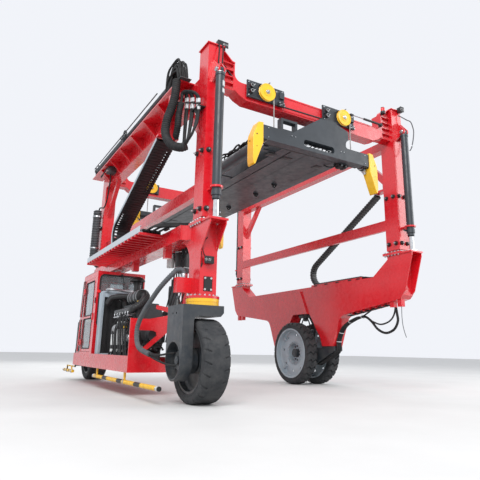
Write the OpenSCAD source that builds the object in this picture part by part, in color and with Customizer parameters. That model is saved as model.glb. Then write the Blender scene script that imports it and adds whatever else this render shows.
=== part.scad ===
// Three-legged straddle carrier for containers, standing on the ground at z = 0.
// Front is -Y, the cab and engine side is -X, and the origin is on the ground amid the columns.

/* [Layout] */
// Half the distance between the left and right column lines
half_gauge = 1990; // [1900:10:2200]
// Half the distance between the front and rear column lines
half_base = 2830; // [2700:10:3000]

/* [Columns] */
// Width of an outer column across the machine
col_w = 260; // [220:5:300]
// Depth of an outer column along the machine
col_d = 310; // [280:5:340]
// Wall of an outer column
col_wall = 12; // [8:1:16]
// Height of the open lower end of the outer columns
col_bottom_z = 2530; // [2515:5:2560]
// Height of the top of the outer columns
col_top_z = 5330; // [5200:10:5500]
// Running gap between an inner mast and its outer column
mast_gap = 6; // [5:1:12]

/* [Lift cylinders] */
// Travel of the upper frame
lift_travel = 1500; // [1200:50:1600]
// Outside diameter of a lift cylinder's barrel
barrel_d = 135; // [110:5:150]
// Diameter of a lift cylinder's rod
rod_d = 84; // [60:2:95]
// Distance from a column's face to the lift cylinder's axis
barrel_stand_off = 165; // [150:5:190]
// Height of the lower end of the barrels
gland_z = 2810; // [2750:10:2900]

/* [Base frame] */
// Height of the seats of the inner masts
seat_z = 2470; // [2450:5:2480]
// Depth of a base post along the machine
post_d = 365; // [340:5:400]
// Thickness of the bolted flange plates
flange_t = 22; // [16:1:26]
// Height of the right girder's upper edge
girder_top_z = 2095; // [2000:5:2150]
// Height of the bottom of the right girder's legs
leg_bottom_z = 810; // [780:5:860]
// Height of the left beam's underside
beam_bottom_z = 2250; // [2230:5:2300]
// How far the left beam's outer side stands out past the column line
beam_out = 260; // [240:5:280]

/* [Steered wheels] */
// Radius of a steered tyre
tyre_r = 555; // [520:5:560]
// Width of a steered tyre
tyre_w = 380; // [320:5:390]
// Radius of the rim that the steered tyre sits on
rim_r = 425; // [400:5:440]
// Thickness of the fork's side plate
fork_plate = 160; // [120:5:180]
// Thickness of the fork's top plate
fork_top_t = 145; // [120:5:160]
// Half the length of the fork along the machine
fork_half = 265; // [240:5:280]
// Radius of the hub opening in the fork
hub_open_r = 235; // [200:5:245]

/* [Twin wheels] */
// Radius of a twin tyre
twin_r = 660; // [620:5:665]
// Width of a twin tyre
twin_w = 270; // [240:5:280]
// Radius of the rims that the twin tyres sit on
twin_rim_r = 530; // [500:5:545]
// Distance between the inner walls of the twin tyres
twin_inside = 340; // [320:5:360]

/* [Engine tray and cab] */
// Distance from the middle of the machine to the tray's outer side
tray_out = 2600; // [2560:10:2640]
// Distance from the middle of the machine to the tray's inner side
tray_in = 1600; // [1580:10:1650]
// Height of the tray's floor
tray_z = 360; // [340:5:400]
// Distance of the tray's front plate ahead of the middle
tray_front = 1600; // [1500:10:1650]
// Distance of the tray's rear end behind the middle
tray_rear = 2200; // [2150:10:2230]
// Height of the cab's roof
cab_top_z = 2190; // [2150:5:2220]
// Distance of the cab's front wall behind the middle
cab_front = 750; // [700:10:800]
// Distance of the cab's rear wall behind the middle, at the floor
cab_rear = 2100; // [2050:10:2150]
// How far the cab's rear wall leans forward at the roof
cab_lean = 200; // [100:10:260]
// Thickness of the cab's walls
cab_wall = 40; // [30:2:50]

/* [Upper frame] */
// Height of the underside of the transverse beams
cross_z = 4570; // [4540:5:4600]
// Height of a transverse beam's section
cross_h = 290; // [250:5:300]
// Depth of a transverse beam along the machine
cross_d = 230; // [200:5:250]
// Distance of a transverse beam's outer face from the middle
cross_face = 2930; // [2900:5:2950]
// Height of the tie bars' underside
tie_z = 2935; // [2850:5:3000]
// Height of a tie bar's section
tie_h = 197; // [150:1:220]

/* [Spreader] */
// Half the length of the spreader, just over half of a container's 6058 mm
spreader_half = 3034; // [3031:1:3040]
// Half the width of an end beam, just over half of a container's 2438 mm
spreader_w = 1222; // [1220:1:1226]
// Height of the spreader's underside
spreader_z = 3946; // [3850:2:3960]
// Height of an end beam's section
spreader_h = 239; // [200:1:250]
// Depth of an end beam along the machine
spreader_d = 160; // [140:5:180]
// Half the distance between the twistlocks across the machine
lock_x = 1129.5; // [1120:0.5:1135]
// Half the distance between the twistlocks along the machine
lock_y = 2926.5; // [2920:0.5:2935]

/* [Energy chains] */
// Width of the left energy chain
chain_w = 310; // [240:10:330]
// Thickness of an energy chain's links
chain_t = 70; // [50:5:90]
// Pitch of the links
chain_pitch = 190; // [120:10:240]
// Radius of the chain's bend
chain_r = 250; // [220:10:300]

/* [Hidden] */

$fn = 48;
paint = [0.80, 0.05, 0.08];
slate = [0.17, 0.20, 0.24];
yellow = [0.95, 0.68, 0.05];
rubber = [0.10, 0.10, 0.10];
zinc = [0.72, 0.74, 0.76];
glass = [0.35, 0.38, 0.40];

touch = 0.3;                                  // gap between faces that move past each other
mast_w = col_w - 2 * (col_wall + mast_gap);
mast_d = col_d - 2 * (col_wall + mast_gap);
mast_top_z = col_top_z - 80;
rod_y = half_base + col_d / 2 + barrel_stand_off;
barrel_top_z = gland_z + lift_travel + 420;
pin_z = barrel_top_z + 70;                    // pin at the head of a lift cylinder
pin_r = 25;
shelf_d = 275;                                // depth of the brackets under the lift rods
post_out = half_base + col_d / 2;             // outer end of the base posts
post_in = post_out - post_d;
fork_side = tyre_w / 2 + 45;                  // from the wheel's middle to the fork's side plate
fork_bottom_z = 2 * tyre_r + 20;
fork_top_z = fork_bottom_z + fork_top_t;
slew_h = 100;
slew_r = 235;
slew_top_z = fork_top_z + slew_h;
spindle_r = 60;
run_gap = 0.08;                               // radial clearance of a running shaft
cross_front_y = -cross_face;
cross_back_y = -cross_face + cross_d;
neck_x = half_gauge - 370;                    // bolted joint of beam and column
neck_top_z = col_top_z - 270;
carriage_x = [-1050, 500];
sheave_x = [-1050, 600];
sheave_r = 150;
sheave_z = cross_z + 215;
sheave_y = cross_face + 65;
shelf_z = cross_z + cross_h + 10;             // top of the shelf that holds the hoist cylinder
tank_x = half_gauge + col_w / 2;
trough_z = 2440;                              // floor of the left trough
trough_front = -1900;
trough_out = half_gauge + beam_out + chain_w + 100;
chain_x = -trough_out + 55;
arm_y = half_base - 510;                      // arm and shelf that hold the chains' moving ends
arm_z = 3900;
shelf_y = half_base - 490;
right_shelf_z = 3750;
tray_mid = (tray_out + tray_in) / 2;
beam_inner = half_gauge - 40;                 // inner face of the left beam
hanger_y = -1400;                             // front hanger of the tray
twin_lugs = 20;

// Extrude a Y-Z outline along X from x0, a distance t
module along_x(x0, t) {
    translate([x0, 0, 0]) rotate([90, 0, 90]) linear_extrude(t) children();
}
// Extrude an X-Z outline along Y from y0, a distance t
module along_y(y0, t) {
    translate([0, y0 + t, 0]) rotate([90, 0, 0]) linear_extrude(t) children();
}
// Block between two corners
module block(a, b) {
    translate(a) cube(b - a);
}
// Repeat towards the rear
module front_and_rear() {
    children();
    mirror([0, 1, 0]) children();
}
// Repeat towards the other side
module left_and_right() {
    children();
    mirror([1, 0, 0]) children();
}
// Round bar from a to b
module bar(a, b, d) {
    v = b - a;
    translate(a) rotate([0, acos(v.z / norm(v)), atan2(v.y, v.x)]) cylinder(d = d, h = norm(v));
}
// Square with true round corners
module round_rect(a, b, r) {
    translate([a.x + r, a.y]) square([b.x - a.x - 2 * r, b.y - a.y]);
    translate([a.x, a.y + r]) square([b.x - a.x, b.y - a.y - 2 * r]);
    for (x = [a.x + r, b.x - r], y = [a.y + r, b.y - r]) translate([x, y]) circle(r);
}
// Points of an arc, for outlines
function arc(c, r, a0, a1, n) = [for (i = [0:n]) c + r * [cos(a0 + (a1 - a0) * i / n), sin(a0 + (a1 - a0) * i / n)]];

// Smooth tube through chosen points
function catmull(p, i, t) = let (
    a = p[max(i - 1, 0)], b = p[i], c = p[i + 1], d = p[min(i + 2, len(p) - 1)])
    0.5 * (2 * b + (c - a) * t + (2 * a - 5 * b + 4 * c - d) * t * t + (3 * b - a - 3 * c + d) * t * t * t);
function smooth(p, n) = [for (i = [0:len(p) - 2], k = [0:n - 1]) catmull(p, i, k / n), p[len(p) - 1]];
function unit(v) = v / norm(v);
module tube(points, d, steps = 3, sides = 8) {
    p = smooth(points, steps);
    m = len(p);
    ring = [for (i = [0:m - 1]) let (
        t = unit(p[min(i + 1, m - 1)] - p[max(i - 1, 0)]),
        side = unit(cross(t, abs(t.x) < 0.8 ? [1, 0, 0] : [0, 1, 0])),
        up = cross(side, t))
        for (k = [0:sides - 1]) p[i] + d / 2 * (cos(360 * k / sides) * side + sin(360 * k / sides) * up)];
    faces = concat([[for (k = [sides - 1:-1:0]) k]],
        [for (i = [0:m - 2], k = [0:sides - 1]) let (a = i * sides, b = (k + 1) % sides)
            each [[a + k, a + sides + b, a + sides + k], [a + k, a + b, a + sides + b]]],
        [[for (k = [0:sides - 1]) (m - 1) * sides + k]]);
    polyhedron(ring, faces, convexity = 6);
}

// Bracket in front of a post that carries the foot of a lift rod, at the front end
module rod_bracket(x, drop, foot) {
    w = col_w;
    block([x - w / 2 - 20, -post_out - shelf_d, seat_z - 30], [x + w / 2 + 20, -post_out, seat_z]);
    for (s = [-w / 2, w / 2 - 16]) along_x(x + s, 16)
        polygon([[-post_out, seat_z - 30], [-post_out - shelf_d + 10, seat_z - 30],
                 [-post_out - shelf_d + 10, seat_z - 80], [-post_out - foot, seat_z - drop],
                 [-post_out, seat_z - drop - foot]]);
}
// Flange plate that the inner mast is bolted to
module seat_flange(x) {
    block([x - col_w / 2 - 30, -post_out - 28, seat_z - flange_t], [x + col_w / 2 + 30, -post_in + 28, seat_z]);
}

module left_frame() {
    haunch_r = 350;
    x = -half_gauge;
    color(paint) difference() {
        union() {
            block([x - beam_out, -post_in + 80, beam_bottom_z], [x + 40, post_in - 80, seat_z]);
            front_and_rear() {
                block([x - col_w / 2, -post_out, slew_top_z + 35], [x + col_w / 2, -post_in, seat_z]);
                seat_flange(x);
                rod_bracket(x, 420, 10);
                translate([x, -half_base, slew_top_z]) cylinder(r = slew_r, h = 35);
                // haunch with the round arch between post and beam
                along_x(x - col_w / 2, col_w / 2 + 40)
                    polygon(concat([[-post_in, seat_z], [-post_in, beam_bottom_z - haunch_r]],
                        arc([-post_in + haunch_r, beam_bottom_z - haunch_r], haunch_r, 180, 90, 8),
                        [[-post_in + haunch_r, seat_z]]));
                // curved plate from the beam's end to the post
                translate([x, 0, beam_bottom_z]) linear_extrude(seat_z - beam_bottom_z)
                    polygon(concat([[-col_w / 2, -post_in + 81], [-beam_out, -post_in + 81]],
                        arc([-beam_out, -post_in - 49], beam_out - col_w / 2, 90, 0, 6)));
            }
            // square stubs under the beam
            for (y = [-1750, -150]) block([x - 190, y - 55, beam_bottom_z - 150], [x - 80, y + 55, beam_bottom_z]);
        }
        // recess for the cover plate in the front post
        block([x - 70, -post_out - 1, 1470], [x + 70, -post_out + 12, 1680]);
    }
}

// Front half of the right girder's outline, from its middle
function girder_front() = [[0, girder_top_z], [-post_in + 330, girder_top_z], [-post_in - 60, seat_z - 90],
    [-post_in - 45, seat_z], [-post_out, seat_z], [-post_out, 1700], [-post_out + 60, 1640], [-post_out + 160, 1620],
    [-1560, 1450], [-1400, 1425], [-1310, 1370], [-1255, 1270], [-1070, leg_bottom_z], [-730, leg_bottom_z],
    [-660, 1010], [-520, 1190], [-430, 1340], [-300, 1510], [0, 1510]];

module right_girder() {
    x = half_gauge;
    color(paint) {
        front_and_rear() {
            along_x(x - col_w / 2, col_w) polygon(girder_front());
            rod_bracket(x, 700, 60);
            seat_flange(x);
            for (y = [half_base - 130, half_base + 50]) block([x - 110, -y - 45, 1500], [x - 20, -y + 45, 1660]);
        }
        // tapered stiffeners over the arch, on both faces
        for (s = [-1, 1]) translate([x + s * col_w / 2, 0, 0]) rotate([90, 0, 90])
            translate([0, 0, s < 0 ? -35 : 0]) linear_extrude(35)
                polygon([[-270, 1510], [-20, 2030], [20, 2030], [270, 1510]]);
    }
}

module inner_masts() {
    color(paint) left_and_right() front_and_rear() {
        block([half_gauge - col_w / 2 - 30, -post_out - 28, seat_z], [half_gauge + col_w / 2 + 30, -post_in + 28, seat_z + flange_t]);
        block([half_gauge - mast_w / 2, -half_base - mast_d / 2, seat_z + flange_t],
              [half_gauge + mast_w / 2, -half_base + mast_d / 2, mast_top_z]);
    }
}

module lift_rods() {
    color(zinc) left_and_right() front_and_rear() translate([half_gauge, -rod_y, 0]) {
        translate([0, 0, seat_z + 30]) cylinder(d = rod_d, h = barrel_top_z - seat_z - 160);
        translate([-60, -60, seat_z]) cube([120, 120, 30]);
    }
}

module slew_rings() {
    color(yellow) front_and_rear() translate([-half_gauge, -half_base, fork_top_z + touch]) difference() {
        cylinder(r = slew_r - 4, h = slew_h - touch);
        translate([0, 0, -1]) cylinder(r = slew_r - 90, h = slew_h + 2);
        translate([0, 0, slew_h / 2 - 6]) rotate_extrude() translate([slew_r - 10, 0]) square([20, 10]);
    }
}

module axle_saddle() {
    x = half_gauge;
    color(rubber) difference() {
        union() {
            front_and_rear() block([x - 110, -1090, leg_bottom_z - 25], [x + 110, -710, leg_bottom_z]);
            along_x(x - 110, 220) polygon([[-1090, leg_bottom_z - 25], [1090, leg_bottom_z - 25], [1090, leg_bottom_z - 90],
                [420, 420], [-420, 420], [-1090, leg_bottom_z - 90]]);
            translate([x - 160, 0, twin_r]) rotate([0, 90, 0]) cylinder(r = 210, h = 320);
            translate([x - 320, 0, twin_r]) rotate([0, 90, 0]) cylinder(r = 90, h = 640);
        }
    }
}

module steered_hub() {
    // motor housing and spindle, from the fork's side plate towards the wheel, at the wheel's centre
    rotate([0, 90, 0]) {
        translate([0, 0, -fork_side]) cylinder(r = 170, h = 125);
        translate([0, 0, -fork_side + 125]) cylinder(r = spindle_r, h = fork_side + 20);
    }
}
// Fork of a steered wheel, with its slewing axis over the wheel's centre
module fork() {
    difference() {
        union() {
            intersection() {
                along_y(-fork_half, 2 * fork_half) polygon(concat(
                    [[-fork_side - fork_plate, 0], [-fork_side, 0]],
                    arc([-fork_side + 70, fork_bottom_z - 70], 70, 180, 90, 6),
                    [[160, fork_bottom_z], [205, fork_bottom_z + 50], [205, fork_top_z], [-fork_side - fork_plate, fork_top_z]]));
                along_x(-fork_side - fork_plate - 1, fork_side + fork_plate + 300) union() {
                    translate([-fork_half, tyre_r]) square([2 * fork_half, fork_top_z - tyre_r]);
                    translate([0, tyre_r]) circle(fork_half);
                }
            }
            translate([0, 0, tyre_r]) steered_hub();
            translate([-fork_side - fork_plate / 2, 130, fork_top_z]) cylinder(r1 = 55, r2 = 26, h = 100);
            translate([-fork_side - fork_plate / 2, 130, fork_top_z + 115]) sphere(26);
        }
        translate([-fork_side - fork_plate - 1, 0, tyre_r]) rotate([0, 90, 0]) cylinder(r = hub_open_r, h = fork_plate - 40);
        for (y = [-45, 75]) translate([-fork_side - fork_plate - 1, y, fork_top_z - 110]) rotate([0, 90, 0]) cylinder(r = 16, h = 40);
    }
}
module front_fork() {
    color(slate) translate([-half_gauge, -half_base, 0]) fork();
}
module rear_fork() {
    color(slate) translate([-half_gauge, half_base, 0]) fork();
}

// Smooth tyre about its own centre with its axle along X
module steered_tyre() {
    shoulder = 32;
    lip = 16;
    n = 96;
    half = tyre_w / 2;
    seat = (rim_r + touch) / cos(180 / n);
    profile = [[lip - half, seat], [-half, tyre_r - shoulder], [shoulder - half, tyre_r],
        [half - shoulder, tyre_r], [half, tyre_r - shoulder], [half - lip, seat]];
    m = len(profile);
    points = [for (i = [0:n - 1], p = profile) let (a = 180 + 360 * i / n) [p[0], p[1] * sin(a), p[1] * cos(a)]];
    faces = [for (i = [0:n - 1], k = [0:m - 1]) let (a = i * m + k, b = i * m + (k + 1) % m,
        c = (i + 1) % n * m + (k + 1) % m, d = (i + 1) % n * m + k) each [[a, c, b], [a, d, c]]];
    polyhedron(points, faces, convexity = 4);
}
module steered_rim() {
    rotate([0, 90, 0]) rotate_extrude($fn = 96) polygon([[spindle_r + run_gap, -75], [150, -75], [170, -60], [rim_r - 60, -60],
        [rim_r - 30, -90], [rim_r - 30, -tyre_w / 2 + 20], [rim_r, -tyre_w / 2 + 20], [rim_r, tyre_w / 2 - 20],
        [rim_r - 30, tyre_w / 2 - 20], [rim_r - 30, -30], [rim_r - 60, -35], [150, -35], [140, 20], [spindle_r + run_gap, 20]]);
}
module front_wheel_tyre() {
    color(rubber) translate([-half_gauge, -half_base, tyre_r]) steered_tyre();
}
module front_wheel_rim() {
    color(slate) translate([-half_gauge, -half_base, tyre_r]) steered_rim();
}
module rear_wheel_tyre() {
    color(rubber) translate([-half_gauge, half_base, tyre_r]) steered_tyre();
}
module rear_wheel_rim() {
    color(slate) translate([-half_gauge, half_base, tyre_r]) steered_rim();
}

// Tyre with chevron lugs, its inner wall at x = 0 and a lug's corner on the ground
module twin_tyre() {
    lug_h = 28;
    pitch = 360 / twin_lugs;
    // angle in pitches and depth below the tread, for the corners of one lug
    corners = [[0, 0], [0.56, 0], [0.63, lug_h], [0.93, lug_h]];
    // place across the tyre and turn in pitches, for its three sections
    sections = [[0, 0], [twin_w / 2, 0.32], [twin_w, 0]];
    seat = (twin_rim_r + touch) / cos(180 / (twin_lugs * 4));
    n = twin_lugs * 4;
    outer = [for (s = sections, i = [0:n - 1]) let (c = corners[i % 4],
        a = 180 + pitch * (floor(i / 4) + c[0] + s[1]), r = twin_r - c[1]) [s[0], r * sin(a), r * cos(a)]];
    inner = [for (x = [0, twin_w], i = [0:n - 1]) let (a = 180 + 360 * i / n) [x, seat * sin(a), seat * cos(a)]];
    faces = [for (i = [0:n - 1]) let (j = (i + 1) % n, m = 3 * n) each [
        [i, j, n + j], [i, n + j, n + i], [n + i, n + j, 2 * n + j], [n + i, 2 * n + j, 2 * n + i],
        [m + i, m + n + i, m + n + j], [m + i, m + n + j, m + j],
        [j, i, m + i], [j, m + i, m + j],
        [2 * n + i, 2 * n + j, m + n + j], [2 * n + i, m + n + j, m + n + i]]];
    polyhedron(concat(outer, inner), faces, convexity = 6);
}
module twin_rim() {
    dish = 120;
    rotate([0, 90, 0]) difference() {
        rotate_extrude($fn = 96) polygon([[90 + run_gap, 0], [200, 0], [245, twin_w - dish - 22], [twin_rim_r - 45, twin_w - dish - 22],
            [twin_rim_r - 24, twin_w - dish - 60], [twin_rim_r - 24, 0], [twin_rim_r, 0], [twin_rim_r, twin_w],
            [twin_rim_r - 24, twin_w], [twin_rim_r - 30, twin_w - dish + 20], [twin_rim_r - 60, twin_w - dish],
            [205, twin_w - dish], [205, 60], [90 + run_gap, 60]]);
        for (i = [0:7]) rotate([0, 0, 45 * i + 10]) translate([390, 0, 0]) cylinder(r = 26, h = twin_w);
    }
}
module twin_tyres() {
    color(rubber) for (s = [0, 1]) translate([half_gauge, 0, twin_r]) mirror([s, 0, 0]) translate([twin_inside / 2, 0, 0]) twin_tyre();
}
module twin_rims() {
    color(zinc) for (s = [0, 1]) translate([half_gauge, 0, twin_r]) mirror([s, 0, 0]) translate([twin_inside / 2, 0, 0]) twin_rim();
}

module engine_tray() {
    y0 = -tray_front;
    color(paint) {
        block([-tray_out, y0, tray_z], [-tray_in, tray_rear, tray_z + 20]);
        block([-tray_out, y0, tray_z - 15], [-tray_out + 16, tray_rear, 590]);
        block([-tray_in - 16, y0, tray_z - 15], [-tray_in, tray_rear, 560]);
        block([-tray_out, tray_rear - 16, tray_z - 15], [-tray_in, tray_rear, 560]);
        // front plate with its three-cornered window and the slanting bar
        along_y(y0, 20) translate([-tray_out, 0]) difference() {
            polygon([[0, tray_z - 15], [760, tray_z - 15], [760, 400], [220, 660], [300, 690], [620, 960], [700, 1000],
                [700, 1240], [600, 1215], [300, 1150], [0, 1150]]);
            polygon([[110, 973], [370, 973], [425, 945], [435, 900], [230, 720], [110, 720]]);
        }
        // rear hanger up to the left beam, and the front one on the beam's inner side
        block([-beam_inner - 90, tray_rear - 96, tray_z + 20], [-beam_inner - 10, tray_rear - 16, beam_bottom_z]);
        block([-tray_in - 64, hanger_y, tray_z - 15], [-tray_in, hanger_y + 80, beam_bottom_z + 110]);
        block([-beam_inner, hanger_y, beam_bottom_z + 30], [-tray_in - 64, hanger_y + 80, beam_bottom_z + 110]);
        // tapered arm over the front plate
        along_y(y0 + 20, 20) polygon([[-2190, 1310], [-2190, 1372], [-tray_in, 1300], [-tray_in, 1200], [-tray_in - 64, 1200]]);
        block([-tray_in - 64, y0 + 20, 1210], [-tray_in, hanger_y, 1290]);
    }
}

function cab_side(inset) = let (k = cab_lean / (cab_top_z - tray_z - 20)) [
    [cab_front + inset, tray_z + 20 + inset], [cab_rear - inset - k * inset, tray_z + 20 + inset],
    [cab_rear - cab_lean - inset + k * inset, cab_top_z - inset], [cab_front + inset, cab_top_z - inset]];
door_mid = 1300;                              // middle rail of the door
door_front = 900;
door_rear = 1700;
door_bottom = 620;
door_top = 2080;
hinge_x = -tray_out - 2;
hinge_r = 9;
module front_pane() {
    round_rect([-tray_out + 70, 1100], [-tray_in - 60, cab_top_z - 70], 80);
}
// Panes between the door and the leaning rear wall
module side_panes() {
    k = cab_lean / (cab_top_z - tray_z - 20);
    for (z = [[door_bottom, door_mid - 30], [door_mid + 30, door_top]])
        polygon([[door_rear + 55, z[0]], [cab_rear - 60 - k * (z[0] - tray_z), z[0]], [cab_rear - 60 - k * (z[1] - tray_z), z[1]], [door_rear + 55, z[1]]]);
}
module door_panes() {
    for (z = [[door_bottom + 65, door_mid - 30], [door_mid + 30, door_top - 65]])
        round_rect([door_front + 62, z[0]], [door_rear - 62, z[1]], 40);
}
module cab_shell() {
    color(slate) for (z = [800, 1850]) {
        translate([hinge_x, door_rear, z - 60]) cylinder(r = hinge_r, h = 120);
        for (e = [-60, 42]) {
            block([hinge_x - 12, door_rear - 12, z + e], [-tray_out + 10, door_rear + 40, z + e + 18]);
            block([-tray_out + 9, door_rear + 12, z + e], [-tray_out + 18, door_rear + 40, z + e + 18]);
        }
    }
    color(paint) difference() {
        along_x(-tray_out + 16, tray_out - tray_in - 32) polygon(cab_side(0));
        along_x(-tray_out + 16 + cab_wall, tray_out - tray_in - 32 - 2 * cab_wall) polygon(cab_side(cab_wall));
        // front and rear windows
        along_y(cab_front - 1, cab_wall + 2) front_pane();
        along_y(cab_rear - cab_lean - cab_wall - 1, cab_lean + cab_wall + 2) round_rect([-tray_out + 110, 1200], [-tray_in - 110, cab_top_z - 90], 60);
        // inner side window and doorway
        along_x(-tray_in - 16 - cab_wall - 1, cab_wall + 2) round_rect([cab_front + 90, 1000], [cab_rear - cab_lean - 90, cab_top_z - 90], 60);
        along_x(-tray_out + 15, cab_wall + 2) {
            round_rect([door_front, door_bottom], [door_rear, door_top], 40);
            side_panes();
        }
    }
    // rubber mounts under the left beam
    color(rubber) for (y = [cab_front + 200, cab_rear - 350]) translate([-half_gauge - 130, y, cab_top_z]) cylinder(r = 55, h = beam_bottom_z - cab_top_z);
}
module cab_glass() {
    t = 8;
    color(glass) {
        along_y(cab_front + cab_wall / 2, t) front_pane();
        along_x(-tray_out + 30, t) side_panes();
        along_x(-tray_in - 16 - cab_wall / 2, t) round_rect([cab_front + 90, 1000], [cab_rear - cab_lean - 90, cab_top_z - 90], 60);
        // leaning rear pane
        intersection() {
            along_y(cab_rear - cab_lean - cab_wall - 1, cab_lean + cab_wall + 2) round_rect([-tray_out + 110, 1200], [-tray_in - 110, cab_top_z - 90], 60);
            along_x(-tray_out, tray_out) translate([-cab_wall / 2, 0]) polygon([[cab_rear, tray_z + 20], [cab_rear - cab_lean, cab_top_z],
                [cab_rear - cab_lean - t, cab_top_z], [cab_rear - t, tray_z + 20]]);
        }
    }
}
module cab_door() {
    g = 6;
    t = 34;
    color(paint) along_x(-tray_out + 16, t) difference() {
        round_rect([door_front + g, door_bottom + g], [door_rear - g, door_top - g], 36);
        door_panes();
    }
    color(slate) for (z = [800, 1850]) difference() {
        union() {
            translate([hinge_x, door_rear, z - 36]) cylinder(r = 15, h = 72);
            block([hinge_x - 4, door_rear - 60, z - 36], [-tray_out + 17, door_rear, z + 36]);
        }
        translate([hinge_x, door_rear, z - 37]) cylinder(r = hinge_r + run_gap, h = 74);
    }
    color(rubber) translate([-tray_out + 4, door_front + 18, door_mid - 70]) cube([12, 30, 140]);
}
module door_glass() {
    color(glass) along_x(-tray_out + 28, 8) door_panes();
}
module driver_seat() {
    x = -tray_mid - 20;
    y = 1400;
    z = tray_z + 20 + cab_wall;
    console = (tray_out - tray_in) / 2 - 170;
    color(rubber) {
        block([x - 170, y - 170, z], [x + 170, y + 170, z + 260]);
        block([x - 240, y - 240, z + 260], [x + 240, y + 240, z + 380]);
        block([x - 230, y + 240, z + 260], [x + 230, y + 340, z + 1000]);
        block([x - console, cab_front + cab_wall + 20, z], [x + console, cab_front + cab_wall + 190, z + 560]);
    }
}

module engine() {
    z = tray_z + 20;
    color(slate) translate([-tray_mid - 50, 0, z]) {
        // sump, crankcase, head and rocker cover
        block([-180, -1150, 160], [180, -300, 360]);
        block([-240, -1200, 360], [240, -200, 780]);
        block([-210, -1180, 780], [210, -220, 960]);
        block([-160, -1150, 960], [160, -250, 1050]);
        // bell housing and pump at the front end
        translate([0, -1200, 520]) rotate([90, 0, 0]) cylinder(r = 230, h = 130);
        translate([0, -1330, 520]) rotate([90, 0, 0]) cylinder(r = 110, h = 150);
        // crank pulley, fan pulley and fan towards the radiator
        translate([90, -160, 440]) rotate([90, 0, 0]) cylinder(r = 85, h = 50);
        translate([0, -50, 640]) rotate([90, 0, 0]) cylinder(r = 90, h = 150);
        translate([0, 60, 640]) rotate([90, 0, 0]) cylinder(r = 45, h = 110);
        for (i = [0:5]) translate([0, 20, 640]) rotate([90, 60 * i, 0]) translate([40, -40, 0]) rotate([25, 0, 0]) cube([210, 80, 12]);
        // feet
        for (y = [-1050, -450], s = [-1, 1]) block([s * 210 - 40, y - 60, 0], [s * 210 + 40, y + 60, 360]);
        // intake manifold with its branches, on the outer side
        translate([-295, -250, 935]) rotate([90, 0, 0]) cylinder(r = 42, h = 880);
        for (i = [0:5]) bar([-200, -1060 + 152 * i, 880], [-290, -1060 + 152 * i, 930], 56);
        // starter
        translate([-295, -920, 480]) rotate([90, 0, 0]) cylinder(r = 56, h = 240);
        // turbocharger, exhaust and silencer on the inner side
        translate([290, -670, 860]) rotate([90, 0, 0]) cylinder(r = 90, h = 140);
        bar([200, -740, 860], [290, -740, 860], 80);
        bar([290, -760, 860], [390, -1170, 960], 80);
        translate([390, -1170, 940]) cylinder(r = 70, h = 420);
        translate([390, -1170, 1360]) cylinder(r = 36, h = 120);
    }
}
module radiator() {
    color(slate) block([-2540, 330, 600], [-1950, 440, 1640]);
    color(zinc) difference() {
        block([-2570, 300, 560], [-1920, 470, 1720]);
        block([-2540, 299, 600], [-1950, 471, 1640]);
    }
    color(slate) block([-2400, 340, tray_z + 20], [-2100, 430, 560]);
}
module air_cleaner() {
    z = tray_z + 20;
    x = -tray_mid - 80;
    color(rubber) {
        translate([x, -850, z + 1190]) rotate([-90, 0, 0]) cylinder(r = 120, h = 480);
        translate([x, -500, z + 1300]) cylinder(r = 60, h = 190);
        translate([x, -500, z + 1490]) cylinder(r1 = 130, r2 = 70, h = 70);
        for (y = [-780, -450]) block([x - 40, y - 20, z + 1050], [x + 40, y + 20, z + 1090]);
        // duct to the intake manifold
        translate([x, 0, z]) {
            tube([[0, -845, 1190], [0, -960, 1190], [-20, -1090, 1175], [-90, -1215, 1105], [-190, -1265, 1005],
                [-265, -1235, 945], [-265, -1155, 935]], 108, 3, 10);
            translate([-265, -1130.3, 935]) rotate([90, 0, 0]) cylinder(r = 54, h = 36);
        }
        // round oil drum on the inner side of the left beam
        translate([-half_gauge + 190, -1620, beam_bottom_z - 330]) cylinder(r = 125, h = 400);
        block([-beam_inner, -1650, beam_bottom_z + 10], [-beam_inner + 60, -1590, beam_bottom_z + 60]);
    }
}
module oil_filters() {
    z = tray_z + 20;
    color(zinc) for (p = [[-2456, -150, 480, 62], [-2455, -420, 560, 55], [-2455, -620, 560, 55]]) {
        translate([p.x, p.y - 150, z + 260]) cylinder(r = p[3], h = p[2] - 130);
        block([p.x - 40, p.y - 190, z + 260 + p[2] - 130], [-2390, p.y - 110, z + 330 + p[2] - 130]);
    }
}
module side_tank() {
    color(paint) {
        block([-tank_x - 215, -half_base + 110, slew_top_z + 90], [-tank_x, -half_base + 230, slew_top_z + 300]);
        translate([-tank_x - 95, -half_base + 170, slew_top_z + 300]) cylinder(r = 38, h = 45);
    }
}

module chain_trough_left() {
    y0 = trough_front;
    y1 = 1500;
    x_in = -half_gauge - beam_out;
    slats = 18;
    color(zinc) {
        block([-trough_out, y0, trough_z], [-trough_out + 8, y1, trough_z + 100]);
        block([-trough_out, y0, trough_z], [-trough_out + 50, y1, trough_z + 6]);
        block([-trough_out, y0, trough_z + 94], [-trough_out + 30, y1, trough_z + 100]);
    }
    color(paint) {
        for (i = [0:slats]) let (y = y0 + i * (y1 - y0 - 60) / slats)
            block([-trough_out, y, trough_z - 40], [x_in, y + 60, trough_z]);
        block([x_in - 14, y0, trough_z - 60], [x_in, y1, trough_z + 26]);
    }
}
module chain_trough_right() {
    color(zinc) {
        block([half_gauge - 90, trough_front - 50, girder_top_z], [half_gauge + 90, -350, girder_top_z + 6]);
        for (x = [half_gauge - 90, half_gauge + 84])
            block([x, trough_front - 50, girder_top_z], [x + 6, -350, girder_top_z + 45]);
    }
}
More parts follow.
